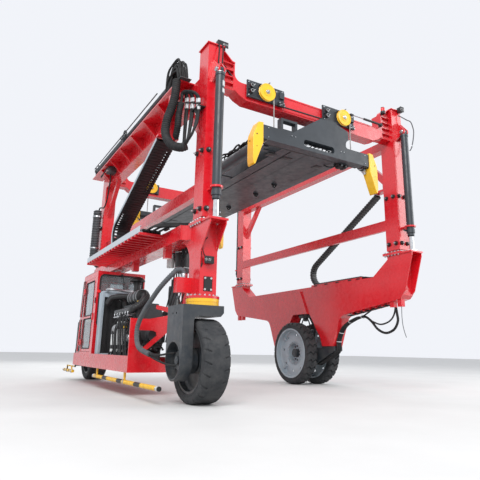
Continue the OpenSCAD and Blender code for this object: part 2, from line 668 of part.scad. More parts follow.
module bump_bars() {
    x = -tray_out + 50;
    for (r = [[-2830, 540], [2350, 3330]]) {
        color(yellow) bar([x, r[0], 200], [x, r[1], 200], 64);
    }
    color(slate) {
        for (y = [-1350, 300]) block([x - 12, y - 25, 225], [x + 12, y + 25, tray_z]);
        block([x - 12, tray_rear - 60, 290], [x + 12, 3000, 315]);
        block([x - 12, tray_rear - 60, 290], [x + 12, tray_rear - 20, tray_z]);
        for (y = [2500, 2960]) block([x - 12, y - 20, 225], [x + 12, y + 20, 290]);
    }
}
// Spiral guard round the hoses beside the rear left column
module hose_guard() {
    z0 = 2720;
    turns = 30;
    pitch = 42;
    color(rubber) translate([-half_gauge - 215, half_base, 0]) {
        translate([0, 0, z0]) cylinder(r = 54, h = turns * pitch);
        for (i = [0:turns - 1]) translate([0, 0, z0 + pitch * (i + 0.5)]) rotate_extrude()
            polygon([[40, -13], [54, -13], [67, -6], [67, 6], [54, 13], [40, 13]]);
        for (z = [z0 + 300, z0 + 1100]) block([0, -30, z], [85, 30, z + 12]);
    }
}
module post_fittings() {
    x = -half_gauge;
    color(slate) {
        // work lamp
        block([x - 55, -post_out - 80, 1850], [x + 45, -post_out, 1950]);
        // cover plate in its recess
        block([x - 60, -post_out - 6, 1480], [x + 60, -post_out + 12, 1670]);
    }
}

// Ribbed joint between a column's inner side and a transverse beam, at the front right
module neck() {
    x1 = half_gauge - col_w / 2;
    y0 = cross_front_y;
    y1 = cross_back_y;
    block([neck_x, y0, cross_z + 110], [neck_x + flange_t, y1, col_top_z - 150]);
    for (i = [0:4]) block([neck_x, y0 + 10, cross_z + 110 + i * 115], [x1, y1 - 10, cross_z + 126 + i * 115]);
    along_y((y0 + y1) / 2 - 60, 120) polygon(concat([[neck_x, cross_z + 110], [x1, cross_z + 110], [x1, col_top_z], [x1 - 40, col_top_z]],
        arc([x1 - 40, col_top_z - 130], 130, 90, 180, 5), [[neck_x, col_top_z - 150]]));
    along_y(y0 - 10, y1 - y0 + 20) polygon([[neck_x, col_top_z - 150], [x1 - 190, col_top_z - 140], [x1 - 60, col_top_z - 20],
        [x1, col_top_z], [x1, col_top_z - 16], [x1 - 55, col_top_z - 38], [x1 - 180, col_top_z - 158], [neck_x, col_top_z - 170]]);
}
// Ears at the head of a lift cylinder, at the front right
module cylinder_ears() {
    for (x = [half_gauge - 32 - 25, half_gauge + 32]) along_x(x, 25) difference() {
        polygon(concat([[-post_out, pin_z - 130], [-post_out, pin_z + 230], [-post_out - 70, pin_z + 215]],
            arc([-rod_y, pin_z], 62, 145, 300, 8)));
        translate([-rod_y, pin_z]) circle(pin_r + run_gap);
    }
}
module outer_columns() {
    color(paint) left_and_right() front_and_rear() {
        difference() {
            block([half_gauge - col_w / 2, -half_base - col_d / 2, col_bottom_z], [half_gauge + col_w / 2, -half_base + col_d / 2, col_top_z]);
            block([half_gauge - col_w / 2 + col_wall, -half_base - col_d / 2 + col_wall, col_bottom_z - 1],
                  [half_gauge + col_w / 2 - col_wall, -half_base + col_d / 2 - col_wall, col_top_z - col_wall]);
        }
        block([half_gauge - col_w / 2 - 12, -half_base - col_d / 2 - 25, col_top_z], [half_gauge + col_w / 2 + 25, -half_base + col_d / 2 + 12, col_top_z + 14]);
        neck();
        cylinder_ears();
        // guide ring that steadies the barrel
        difference() {
            union() {
                translate([half_gauge, -rod_y, gland_z + 110]) cylinder(r = barrel_d / 2 + 28, h = 26);
                block([half_gauge - 60, -rod_y, gland_z + 110], [half_gauge + 60, -post_out, gland_z + 136]);
            }
            translate([half_gauge, -rod_y, gland_z + 109]) cylinder(r = barrel_d / 2 + 0.3, h = 28);
        }
    }
}

module cross_beams() {
    color(paint) front_and_rear() {
        along_y(cross_front_y, cross_d) left_and_right() polygon(concat([[-1, cross_z], [neck_x - 230, cross_z], [neck_x - 90, cross_z + 60],
            [neck_x, cross_z + 130], [neck_x, neck_top_z]],
            arc([neck_x - 130, cross_z + cross_h + 130], 130, 0, -90, 6), [[-1, cross_z + cross_h]]));
        // rails along the top and bottom edges
        for (z = [cross_z, cross_z + cross_h - 24]) block([-neck_x + 320, cross_front_y - 8, z], [neck_x - 320, cross_front_y, z + 24]);
    }
}
module knee(side) {
    // slanting brace from a column to a side beam, at the front
    y = -half_base + col_d / 2;
    along_x(side * half_gauge - 45, 90) polygon([[y, 3800], [y, 4000], [y + 560, cross_z], [y + 700, cross_z]]);
}
module side_beam_right() {
    y = half_base - col_d / 2;
    color(paint) {
        block([half_gauge - col_w / 2, -y, cross_z], [half_gauge + 50, y, cross_z + 170]);
        front_and_rear() knee(1);
        // shelf for the energy chain's moving end
        block([half_gauge - 80, -y, right_shelf_z], [half_gauge + 80, -shelf_y, right_shelf_z + 40]);
        block([half_gauge - 80, -y, right_shelf_z + 40], [half_gauge + 80, -y + 60, right_shelf_z + 150]);
    }
}
module side_beam_left() {
    y = half_base - col_d / 2;
    color(paint) {
        block([-half_gauge - 130, -y, cross_z], [-half_gauge + 90, y, shelf_z - 20]);
        difference() {
            block([-half_gauge - 400, -y + 200, shelf_z - 20], [-half_gauge + 90, half_base + 240, shelf_z]);
            block([-half_gauge - 131 - 6, y, shelf_z - 21], [-half_gauge + 91, half_base + 241, shelf_z + 1]);
        }
        for (i = [0:6]) along_y(-2300 + i * 760, 14) polygon([[-half_gauge - 130, cross_z + 20], [-half_gauge - 130, shelf_z - 20], [-half_gauge - 390, shelf_z - 20]]);
        front_and_rear() knee(-1);
        // arm for the energy chain's moving end
        block([chain_x - 5, -arm_y, arm_z], [chain_x + chain_w + 25, -arm_y + 90, arm_z + 30]);
        block([-half_gauge - 450, -arm_y, arm_z + 30], [-half_gauge - 360, -arm_y + 90, cross_z + 20]);
        block([-half_gauge - 450, -arm_y, cross_z + 20], [-half_gauge - 130, -arm_y + 90, cross_z + 90]);
    }
}
module tie_bars() {
    y = half_base - col_d / 2;
    color(paint) {
        block([half_gauge - col_w / 2, -y, tie_z], [half_gauge - 70, y, tie_z + tie_h]);
        block([-half_gauge - 70, -y, tie_z], [-half_gauge + 50, y, tie_z + tie_h]);
    }
}
module lift_barrels() {
    color(slate) left_and_right() front_and_rear() translate([half_gauge, -rod_y, 0]) {
        difference() {
            union() {
                translate([0, 0, gland_z]) cylinder(d = barrel_d, h = barrel_top_z - gland_z);
                along_x(-30, 60) union() {
                    translate([0, pin_z]) circle(55);
                    translate([-45, barrel_top_z]) square([90, 70]);
                }
                translate([-75, 0, pin_z]) rotate([0, 90, 0]) cylinder(r = pin_r, h = 150);
            }
            translate([0, 0, gland_z + 90]) cylinder(d = rod_d + 20, h = barrel_top_z - gland_z - 140);
            translate([0, 0, gland_z - 1]) cylinder(d = rod_d + 2 * run_gap, h = 100);
        }
    }
}
// Adjusters of the guide pads on the columns' faces, at two levels
module guide_pads() {
    color(rubber) left_and_right() front_and_rear() for (z = [2650, 3550]) {
        for (x = [-70, 70]) translate([half_gauge + x, -post_out, z]) rotate([90, 0, 0]) cylinder(r = 32, h = 34);
        for (y = [-85, 85]) translate([half_gauge - col_w / 2 - 34, -half_base + y, z]) rotate([0, 90, 0]) cylinder(r = 32, h = 34);
        for (y = [-85, 85]) translate([half_gauge + col_w / 2, -half_base + y, z]) rotate([0, 90, 0]) cylinder(r = 32, h = 34);
    }
}
module hoist_cylinder() {
    x = -half_gauge - 310;
    z = shelf_z + 190;
    color(slate) translate([x, 0, z]) rotate([-90, 0, 0]) {
        translate([0, 0, 650]) cylinder(d = 125, h = 2330);
        translate([0, 0, 640]) cylinder(d = 150, h = 60);
        translate([0, 0, 2930]) cylinder(d = 150, h = 60);
    }
    color(zinc) {
        translate([x, 0, z]) rotate([-90, 0, 0]) translate([0, 0, -1840]) cylinder(d = 80, h = 2480);
        bar([x - 95, -1500, z + 20], [x - 95, 2900, z + 20], 22);
    }
    color(slate) for (y = [-1800, 670, 2950]) block([x - 50, y - 20, shelf_z], [x + 50, y + 20, z - 30]);
    color(slate) for (y = [700, 2800]) block([x - 100, y - 10, z - 10], [x - 60, y + 10, z + 10]);
}
module column_hoses() {
    // corrugated hose loop and the pressure hoses beside the front left column
    color(rubber) translate([-tank_x, -half_base, 0]) {
        tube([[-95, 380, 4560], [-130, 380, 4300], [-150, 360, 4060], [-140, 230, 3900], [-120, 90, 4050],
            [-100, 60, 4280], [-95, 55, 4560]], 90, 3, 10);
        for (i = [0:3]) tube([[-22, 140 - 50 * i, 4500], [-30, 140 - 50 * i, 4300], [-25, 140 - 50 * i, 4050]], 34, 3, 8);
        block([-80, -40, 4440], [0, 170, 4480]);
    }
}
module mast_lamps() {
    color(slate) {
        block([-half_gauge + 20, -post_out - 20, col_top_z + 14], [-half_gauge + 120, -post_out + 60, col_top_z + 104]);
        block([half_gauge + 20, -post_out - 110, col_top_z - 40], [half_gauge + 110, -post_out - 25, col_top_z + 50]);
        // arm of the flashing light
        block([neck_x - 15, cross_front_y - 100, col_top_z - 170], [neck_x + 45, cross_front_y - 10, col_top_z - 154]);
    }
    color(paint) translate([neck_x + 12, cross_front_y - 55, col_top_z - 154]) {
        translate([0, 0, 40]) cylinder(r = 36, h = 80);
        cylinder(r = 44, h = 42);
    }
}

module carriages() {
    g = 10;
    t = 25;
    w = 360;
    color(slate) front_and_rear() for (x = carriage_x) {
        // front plate, top plate and rear plate hang over the beam
        block([x - w, cross_front_y - 8 - g - t, cross_z + 60], [x + w, cross_front_y - 8 - g, cross_z + cross_h + g + 60]);
        block([x - w + 60, cross_front_y - 8 - g - t, cross_z + cross_h + g], [x + w - 60, cross_back_y + g + t, cross_z + cross_h + g + t]);
        block([x - w + 60, cross_back_y + g, cross_z + 60], [x + w - 60, cross_back_y + g + t, cross_z + cross_h + g + t]);
        block([x - w, cross_front_y - 8 - g - t - 12, cross_z + 60], [x + w, cross_front_y - 8 - g - t, cross_z + 84]);
        // lugs on the top plate and guide blocks on the front plate
        for (u = [-220, 220]) along_y(cross_front_y + 30, 20) polygon([[x + u - 35, cross_z + cross_h + g + t], [x + u + 35, cross_z + cross_h + g + t],
            [x + u + 18, cross_z + cross_h + g + t + 70], [x + u - 18, cross_z + cross_h + g + t + 70]]);
        for (u = [-w + 60, w - 60]) block([x + u - 45, cross_front_y - 8 - g - t - 34, cross_z + 190], [x + u + 45, cross_front_y - 8 - g - t, cross_z + 300]);
        // slide pad on the beam's upper edge
        block([x - w + 80, cross_front_y + 40, cross_z + cross_h + touch], [x + w - 80, cross_back_y - 40, cross_z + cross_h + g]);
    }
    color(slate) front_and_rear() for (x = sheave_x) translate([x, -sheave_y - 30, sheave_z]) rotate([-90, 0, 0]) cylinder(r = 35, h = 30 + sheave_y - cross_face - 8 - g);
}
module sheaves() {
    color(yellow) front_and_rear() for (x = sheave_x) translate([x, -sheave_y + 8, sheave_z]) rotate([90, 0, 0]) rotate_extrude()
        polygon([[35 + run_gap, 0], [70, 0], [70, 6], [sheave_r - 40, 6], [sheave_r, 0], [sheave_r - 28, 16], [sheave_r - 28, 28],
            [sheave_r, 44], [sheave_r - 40, 38], [70, 38], [70, 44], [35 + run_gap, 44]]);
}

module end_beams() {
    top = spreader_z + spreader_h;
    color(slate) front_and_rear() {
        along_y(-spreader_half, spreader_d) difference() {
            translate([-spreader_w, spreader_z]) square([2 * spreader_w, spreader_h]);
            round_rect([-330, spreader_z + 65], [330, top - 55], 58);
        }
        // humped plate over the window
        along_y(-spreader_half, 25) polygon(concat([[-560, top], [-440, top + 90], [40, top + 420], [300, top + 440], [660, top + 330], [660, top + 180]],
            arc([720, top + 60], 120, 110, 200, 5), [[640, top]]));
        // open box bracket beside it
        along_y(-spreader_half + 30, 110) difference() {
            translate([-770, top]) square([330, 230]);
            translate([-730, top + 40]) square([250, 150]);
        }
    }
}
module spreader_frame() {
    y = spreader_half - spreader_d;
    color(slate) {
        for (x = [-640, 440]) block([x, -y, spreader_z + 10], [x + 200, y, spreader_z + 220]);
        block([-440, -y, spreader_z + 4], [440, y, spreader_z + 30]);
        for (yy = [-1600, 0, 1600]) block([-440, yy - 80, spreader_z + 30], [440, yy + 80, spreader_z + 200]);
        // turning rods of the twistlocks, with their levers
        for (s = [-1, 1]) {
            bar([-lock_x - 10, s * (y - 60), spreader_z + 120], [lock_x + 10, s * (y - 60), spreader_z + 120], 36);
            for (x = [-lock_x, lock_x]) block([x - 25, min(s * y, s * (y - 80)), spreader_z + 95], [x + 25, max(s * y, s * (y - 80)), spreader_z + 145]);
        }
    }
}
// Flared yellow guide at the front right corner
module corner_guides() {
    t = 18;
    top = spreader_z + spreader_h + 35;
    x = spreader_w;
    y = spreader_half;
    color(yellow) left_and_right() front_and_rear() {
        along_y(-y, 260) polygon([[x, top], [x + t, top], [x + t, spreader_z - 90], [x + 210, spreader_z - 430], [x + 195, spreader_z - 440], [x, spreader_z - 96]]);
        along_x(x - 130, 130 + t) polygon([[-y, top - 60], [-y - t, top - 60], [-y - t, spreader_z - 90], [-y - 120, spreader_z - 420], [-y - 100, spreader_z - 425], [-y, spreader_z - 96]]);
    }
}
module twistlocks() {
    color(zinc) left_and_right() front_and_rear() translate([lock_x, -lock_y, 0]) {
        translate([-75, -75, spreader_z - 20]) cube([150, 150, 20]);
        translate([0, 0, spreader_z - 62]) cylinder(r = 30, h = 42);
        translate([0, 0, spreader_z - 110]) intersection() {
            cylinder(r1 = 20, r2 = 62, h = 48);
            translate([-70, -32, 0]) cube([140, 64, 60]);
        }
    }
}
module hoist_ropes() {
    color(zinc) front_and_rear() for (x = sheave_x)
        translate([x + sheave_r - 18, -sheave_y - 14, spreader_z + spreader_h]) cylinder(d = 20, h = sheave_z - spreader_z - spreader_h);
}

// Centre line of an energy chain in Y-Z: the run in the trough, the bend and the run up to the arm
function chain_path(a, b, y_end) = let (
    c = [a.x, a.y + chain_r],
    f = b - c,
    turn = atan2(f.y, f.x) + asin(chain_r / norm(f)),
    s = c + chain_r * [sin(turn), -cos(turn)],
    flat = max(1, round((a.x - y_end) / chain_pitch)),
    bend = max(4, round(chain_r * turn * PI / 180 / chain_pitch * 1.5)),
    rise = max(1, round(norm(b - s) / chain_pitch)))
    concat([for (i = [0:flat]) [y_end + (a.x - y_end) * i / flat, a.y]],
        [for (i = [1:bend]) c + chain_r * [sin(turn * i / bend), -cos(turn * i / bend)]],
        [for (i = [1:rise]) s + (b - s) * i / rise]);
module chain_outline(path) {
    for (i = [0:len(path) - 2]) let (a = path[i], b = path[i + 1], v = b - a)
        translate(a) rotate(atan2(v.y, v.x)) {
            translate([-12, -chain_t / 2 + 16]) square([norm(v) + 24, chain_t - 32]);
            translate([10, -chain_t / 2]) square([norm(v) - 20, chain_t]);
        }
}
module chain_left() {
    z = trough_z + chain_t / 2 + touch;
    color(rubber) along_x(chain_x, chain_w)
        chain_outline(chain_path([-370, z], [-arm_y + 70, arm_z - chain_t / 2 - touch], trough_front + 50));
}
module chain_right() {
    z = girder_top_z + 6 + chain_t / 2 + touch;
    color(rubber) along_x(half_gauge - 60, 130)
        chain_outline(chain_path([-560, z], [-shelf_y - 60, right_shelf_z - chain_t / 2 - touch], trough_front));
}
module hub_hoses() {
    color(rubber) {
        translate([-2215, -2660, 1720.3]) cylinder(r = 30, h = 40);
        tube([[-2215, -2660, 1745], [-2215, -2660, 1770], [-2265, -2630, 1800], [-2360, -2550, 1725], [-2420, -2405, 1600],
            [-2460, -2245, 1480], [-2500, -1915, 1240], [-2520, -1725, 1045], [-2530, -1735, 855], [-2530, -1885, 705],
            [-2500, -2200, 625]], 60, 3, 8);
        tube([[-2500, -2200, 625], [-2465, -2480, 610], [-2410, -2660, 600], [-2330, -2760, 590]], 34, 3, 8);
    }
}

left_frame();
right_girder();
inner_masts();
lift_rods();
slew_rings();
axle_saddle();
engine_tray();
cab_shell();
cab_glass();
driver_seat();
engine();
radiator();
air_cleaner();
oil_filters();
side_tank();
chain_trough_left();
chain_trough_right();
bump_bars();
hose_guard();
post_fittings();
outer_columns();
cross_beams();
side_beam_left();
side_beam_right();
tie_bars();
lift_barrels();
guide_pads();
hoist_cylinder();
column_hoses();
mast_lamps();
carriages();
sheaves();
spreader_frame();
end_beams();
corner_guides();
twistlocks();
hoist_ropes();
chain_left();
chain_right();
front_fork();
rear_fork();
front_wheel_tyre();
front_wheel_rim();
rear_wheel_tyre();
rear_wheel_rim();
twin_tyres();
twin_rims();
cab_door();
door_glass();
hub_hoses();
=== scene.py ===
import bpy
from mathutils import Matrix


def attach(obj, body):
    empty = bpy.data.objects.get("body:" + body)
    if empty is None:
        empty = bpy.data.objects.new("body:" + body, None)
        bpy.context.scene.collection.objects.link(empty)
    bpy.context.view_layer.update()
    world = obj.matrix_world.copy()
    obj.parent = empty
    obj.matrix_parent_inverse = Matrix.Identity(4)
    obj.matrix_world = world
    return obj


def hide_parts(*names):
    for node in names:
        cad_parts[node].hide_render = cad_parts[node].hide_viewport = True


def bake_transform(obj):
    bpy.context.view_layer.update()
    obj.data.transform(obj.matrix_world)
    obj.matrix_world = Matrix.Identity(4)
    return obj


bl_info = {
    "name": "Straddle carrier",
    "version": (1, 0, 0),
    "blender": (4, 5, 0),
    "location": "3D View > Sidebar > Carrier",
    "description": "Finishes and small parts of a straddle carrier over its solid model",
    "category": "Add Mesh",
}

from math import asin, atan2, ceil, copysign, cos, exp, radians, sin, tau
from random import Random

import bmesh
import bpy
from mathutils import Matrix, Vector

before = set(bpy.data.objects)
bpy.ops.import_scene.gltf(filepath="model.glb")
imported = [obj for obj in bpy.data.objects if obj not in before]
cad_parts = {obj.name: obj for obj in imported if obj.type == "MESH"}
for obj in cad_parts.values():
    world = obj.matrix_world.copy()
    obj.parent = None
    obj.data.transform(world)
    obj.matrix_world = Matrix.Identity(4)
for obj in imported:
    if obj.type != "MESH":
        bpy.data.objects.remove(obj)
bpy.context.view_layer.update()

# Places shared with the solid model, in metres
GAUGE = 1.99
BASE = 2.83
COLUMN_W = 0.26
COLUMN_D = 0.31
COLUMN_FRONT = BASE + COLUMN_D / 2
POST_BACK = COLUMN_FRONT - 0.365
SEAT_Z = 2.47
ROD_Y = BASE + COLUMN_D / 2 + 0.165
BEAM_FACE = 2.93
FORK_TOP = 1.275
SLEW_TOP = 1.375
STEER_R = 0.555
TWIN_R = 0.66
FRONT_AXLE = Vector((-GAUGE, -BASE, STEER_R))
REAR_AXLE = Vector((-GAUGE, BASE, STEER_R))
TWIN_AXLE = Vector((GAUGE, 0, TWIN_R))
TWIN_GAP = 0.17
TWIN_FACE = TWIN_GAP + 0.15
SHEAVE_Z = 4.785
STEERED = (("front", FRONT_AXLE), ("rear", REAR_AXLE))
X, Y, Z = Vector((1, 0, 0)), Vector((0, 1, 0)), Vector((0, 0, 1))


# Finishes

def new_finish(name):
    """An empty node material and its shader, coordinates and tree."""
    mat = bpy.data.materials.new(name)
    mat.use_nodes = True
    tree = mat.node_tree
    shader = tree.nodes["Principled BSDF"]
    place = tree.nodes.new("ShaderNodeTexCoord")
    return mat, tree, shader, place.outputs["Object"]


def noise(tree, place, scale, detail=4.0, rough=0.55):
    node = tree.nodes.new("ShaderNodeTexNoise")
    node.inputs["Scale"].default_value = scale
    node.inputs["Detail"].default_value = detail
    node.inputs["Roughness"].default_value = rough
    tree.links.new(place, node.inputs["Vector"])
    return node.outputs["Fac"]


def ramp(tree, value, stops):
    node = tree.nodes.new("ShaderNodeValToRGB")
    bar = node.color_ramp
    bar.elements[0].position, bar.elements[0].color = stops[0][0], (*stops[0][1], 1)
    bar.elements[1].position, bar.elements[1].color = stops[-1][0], (*stops[-1][1], 1)
    for at, colour in stops[1:-1]:
        bar.elements.new(at).color = (*colour, 1)
    tree.links.new(value, node.inputs["Fac"])
    return node.outputs["Color"]


def spread(tree, value, low, high, start=0.0, end=1.0):
    node = tree.nodes.new("ShaderNodeMapRange")
    node.inputs["From Min"].default_value = start
    node.inputs["From Max"].default_value = end
    node.inputs["To Min"].default_value = low
    node.inputs["To Max"].default_value = high
    tree.links.new(value, node.inputs["Value"])
    return node.outputs["Result"]


def blend_colour(tree, factor, a, b):
    node = tree.nodes.new("ShaderNodeMix")
    node.data_type = "RGBA"
    tree.links.new(factor, node.inputs["Factor"])
    for socket, value in ((node.inputs["A"], a), (node.inputs["B"], b)):
        if isinstance(value, tuple):
            socket.default_value = (*value, 1)
        else:
            tree.links.new(value, socket)
    return node.outputs["Result"]


def bump(tree, shader, height, strength, distance):
    node = tree.nodes.new("ShaderNodeBump")
    node.inputs["Strength"].default_value = strength
    node.inputs["Distance"].default_value = distance
    tree.links.new(height, node.inputs["Height"])
    tree.links.new(node.outputs["Normal"], shader.inputs["Normal"])


def axis_of(tree, place, axis):
    node = tree.nodes.new("ShaderNodeSeparateXYZ")
    tree.links.new(place, node.inputs["Vector"])
    return node.outputs[axis]


def calc(tree, kind, a, b):
    """A maths node on two values, each a node's output or a plain number."""
    node = tree.nodes.new("ShaderNodeMath")
    node.operation = kind
    for socket, value in zip(node.inputs, (a, b)):
        if isinstance(value, float):
            socket.default_value = value
        else:
            tree.links.new(value, socket)
    return node.outputs["Value"]


def uneven_gloss(tree, shader, value, low, high, end=0.7):
    """Roughness that drifts between low and high."""
    tree.links.new(spread(tree, value, low, high, 0.3, end), shader.inputs["Roughness"])


def painted(name, colour, rough=0.3, coat=0.4, shade=0.8, dust=0.12):
    """Sprayed enamel: slight drift of colour, dust on the low parts and orange peel."""
    mat, tree, shader, place = new_finish(name)
    dark = tuple(c * shade for c in colour)
    drift = ramp(tree, noise(tree, place, 1.3, 3.0, 0.5), [(0.35, dark), (0.62, colour)])
    height = spread(tree, axis_of(tree, place, "Z"), dust, 0, 0.1, 1.6)
    patches = spread(tree, noise(tree, place, 6.0, 8.0, 0.7), 0, 2.2, 0.4, 0.75)
    dusty = blend_colour(tree, calc(tree, "MULTIPLY", height, patches), drift, DUST)
    tree.links.new(dusty, shader.inputs["Base Color"])
    uneven_gloss(tree, shader, noise(tree, place, 9.0, 5.0), rough - 0.08, rough + 0.16)
    shader.inputs["Coat Weight"].default_value = coat
    shader.inputs["Coat Roughness"].default_value = 0.16
    bump(tree, shader, noise(tree, place, 110.0, 2.0), 0.06, 0.0006)
    return mat


def bare_metal(name, colour, rough, scale=60.0, metal=1.0):
    mat, tree, shader, place = new_finish(name)
    tones = [(0.3, tuple(c * 0.72 for c in colour)), (0.7, colour)]
    tree.links.new(ramp(tree, noise(tree, place, 14.0, 6.0), tones), shader.inputs["Base Color"])
    uneven_gloss(tree, shader, noise(tree, place, scale, 4.0), rough * 0.7, rough * 1.5)
    shader.inputs["Metallic"].default_value = metal
    bump(tree, shader, noise(tree, place, scale * 2, 2.0), 0.1, 0.0005)
    return mat


def rubber_finish(name, colour, dusty, amount):
    """Tyre or hose rubber, chalky where dust clings."""
    mat, tree, shader, place = new_finish(name)
    mask = spread(tree, noise(tree, place, 5.0, 8.0, 0.7), 0, amount, 0.42, 0.72)
    tree.links.new(blend_colour(tree, mask, colour, dusty), shader.inputs["Base Color"])
    uneven_gloss(tree, shader, noise(tree, place, 22.0), 0.62, 0.9)
    shader.inputs["Specular IOR Level"].default_value = 0.35
    bump(tree, shader, noise(tree, place, 180.0, 3.0), 0.25, 0.0012)
    return mat


def plastic(name, colour, rough=0.42):
    mat, tree, shader, place = new_finish(name)
    tones = [(0.3, colour), (0.75, tuple(min(1.0, c * 1.35 + 0.004) for c in colour))]
    tree.links.new(ramp(tree, noise(tree, place, 8.0, 5.0), tones), shader.inputs["Base Color"])
    uneven_gloss(tree, shader, noise(tree, place, 30.0), rough - 0.08, rough + 0.12)
    bump(tree, shader, noise(tree, place, 300.0, 2.0), 0.1, 0.0004)
    return mat


def window_glass(name, tint):
    mat, tree, shader, place = new_finish(name)
    tones = [(0.3, tint), (0.8, tuple(min(1.0, c * 1.2) for c in tint))]
    tree.links.new(ramp(tree, noise(tree, place, 3.0), tones), shader.inputs["Base Color"])
    shader.inputs["Transmission Weight"].default_value = 0.85
    shader.inputs["IOR"].default_value = 1.45
    uneven_gloss(tree, shader, noise(tree, place, 11.0), 0.02, 0.09, 0.8)
    return mat


def striped(name, first, second):
    """Warning bands along the two bump bars: long light lengths between short dark ones."""
    mat, tree, shader, place = new_finish(name)
    along = axis_of(tree, place, "Y")
    pick = tree.nodes.new("ShaderNodeMix")
    tree.links.new(calc(tree, "GREATER_THAN", along, 1.0), pick.inputs["Factor"])
    for key, start, pitch in (("A", -2.73, 0.86), ("B", 2.45, 0.25)):
        bands = calc(tree, "DIVIDE", calc(tree, "SUBTRACT", along, start), pitch)
        tree.links.new(bands, pick.inputs[key])
    part = calc(tree, "FLOORED_MODULO", pick.outputs["Result"], 1.0)
    dark_part = calc(tree, "GREATER_THAN", part, 0.69)
    tones = [(0.35, tuple(c * 0.75 for c in first)), (0.6, first)]
    worn = ramp(tree, noise(tree, place, 20.0, 6.0), tones)
    tree.links.new(blend_colour(tree, dark_part, worn, second), shader.inputs["Base Color"])
    shader.inputs["Roughness"].default_value = 0.45
    bump(tree, shader, noise(tree, place, 90.0), 0.1, 0.0006)
    return mat


def rail_finish(name, light, dark):
    """Bare rail outside and above, painted slats inside and below."""
    mat, tree, shader, place = new_finish(name)
    outside = calc(tree, "LESS_THAN", axis_of(tree, place, "X"), -2.605)
    above = calc(tree, "GREATER_THAN", axis_of(tree, place, "Z"), 2.4398)
    tones = [(0.3, tuple(c * 0.8 for c in dark)), (0.7, dark)]
    worn = ramp(tree, noise(tree, place, 9.0, 6.0), tones)
    rail = blend_colour(tree, calc(tree, "MULTIPLY", outside, above), worn, light)
    tree.links.new(rail, shader.inputs["Base Color"])
    shader.inputs["Roughness"].default_value = 0.32
    return mat


def core_finish(name):
    """Radiator core: fine upright fins."""
    mat, tree, shader, place = new_finish(name)
    wave = tree.nodes.new("ShaderNodeTexWave")
    wave.bands_direction = "X"
    wave.inputs["Scale"].default_value = 48.0
    tree.links.new(place, wave.inputs["Vector"])
    tones = [(0.2, (0.006, 0.006, 0.007)), (0.8, (0.035, 0.036, 0.038))]
    tree.links.new(ramp(tree, wave.outputs["Fac"], tones), shader.inputs["Base Color"])
    shader.inputs["Roughness"].default_value = 0.55
    bump(tree, shader, wave.outputs["Fac"], 0.6, 0.004)
    return mat


RED = (0.63, 0.008, 0.016)
GREY = (0.026, 0.033, 0.041)
YELLOW = (0.88, 0.5, 0.012)
BLACK = (0.008, 0.008, 0.009)
DUST = (0.36, 0.32, 0.27)
FINISH = {}


def make_finishes():
    FINISH.update(
        red=painted("red_enamel", RED, 0.24, 0.6, 0.88, 0.06),
        grey=painted("slate_enamel", GREY, 0.42, 0.15, 0.7),
        rim=painted("rim_grey_enamel", (0.37, 0.44, 0.49), 0.4, 0.15, 0.8, 0.2),
        yellow=painted("yellow_enamel", YELLOW, 0.34, 0.3, 0.82),
        tyre=rubber_finish("tyre_rubber", (0.027, 0.029, 0.032), (0.088, 0.087, 0.086), 0.6),
        hose=rubber_finish("hose_rubber", (0.012, 0.012, 0.013), (0.05, 0.05, 0.05), 0.5),
        guard=rubber_finish("grey_hose_guard", (0.085, 0.093, 0.102), (0.16, 0.16, 0.16), 0.6),
        zinc=bare_metal("zinc_plate", (0.62, 0.64, 0.66), 0.32),
        steel=bare_metal("turned_steel", (0.5, 0.51, 0.53), 0.22, 25.0),
        chrome=bare_metal("hard_chrome", (0.86, 0.87, 0.88), 0.1, 12.0),
        cast=bare_metal("engine_casting", (0.075, 0.08, 0.085), 0.5, 40.0, 0.35),
        alloy=bare_metal("cast_alloy", (0.42, 0.43, 0.44), 0.42, 40.0, 0.8),
        black=plastic("black_plastic", BLACK),
        white=plastic("white_canister", (0.47, 0.48, 0.475), 0.35),
        cloth=plastic("seat_cloth", (0.015, 0.015, 0.017), 0.85),
        glass=window_glass("tinted_glass", (0.55, 0.6, 0.62)),
        lens=window_glass("lamp_lens", (0.9, 0.92, 0.94)),
        beacon=plastic("red_lens", (0.75, 0.02, 0.02), 0.18),
        stripes=striped("warning_bands", YELLOW, BLACK),
        rail=rail_finish("trough_rail", (0.46, 0.5, 0.54), RED),
        label=plastic("blank_label", (0.46, 0.47, 0.48), 0.5),
        copper=bare_metal("copper_fitting", (0.62, 0.33, 0.2), 0.35),
        rope=bare_metal("wire_rope", (0.3, 0.29, 0.28), 0.5, 90.0, 0.7),
        core=core_finish("radiator_core"),
    )


NODE_FINISH = {
    "red": ("left_frame", "right_girder", "inner_masts", "engine_tray", "cab_shell", "cab_door", "side_tank",
            "outer_columns", "cross_beams", "side_beam_left", "side_beam_right", "tie_bars",
            "chain_trough_right"),
    "grey": ("axle_saddle", "front_fork", "rear_fork", "front_wheel_rim", "rear_wheel_rim", "lift_barrels",
             "hoist_cylinder", "carriages", "spreader_frame", "end_beams"),
    "rim": ("twin_rims", "radiator"),
    "rail": ("chain_trough_left",),
    "yellow": ("slew_rings", "sheaves", "corner_guides"),
    "tyre": ("front_wheel_tyre", "rear_wheel_tyre", "twin_tyres"),
    "hose": ("column_hoses", "hub_hoses"),
    "black": ("guide_pads", "mast_lamps", "hose_guard", "post_fittings", "chain_left", "chain_right",
              "air_cleaner"),
    "zinc": ("twistlocks",),
    "rope": ("hoist_ropes",),
    "chrome": ("lift_rods",),
    "cast": ("engine",),
    "white": ("oil_filters",),
    "cloth": ("driver_seat",),
    "glass": ("cab_glass", "door_glass"),
    "stripes": ("bump_bars",),
}


def finish_nodes():
    for key, nodes in NODE_FINISH.items():
        for name in nodes:
            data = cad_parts[name].data
            data.materials.clear()
            data.materials.append(FINISH[key])


# Shapes

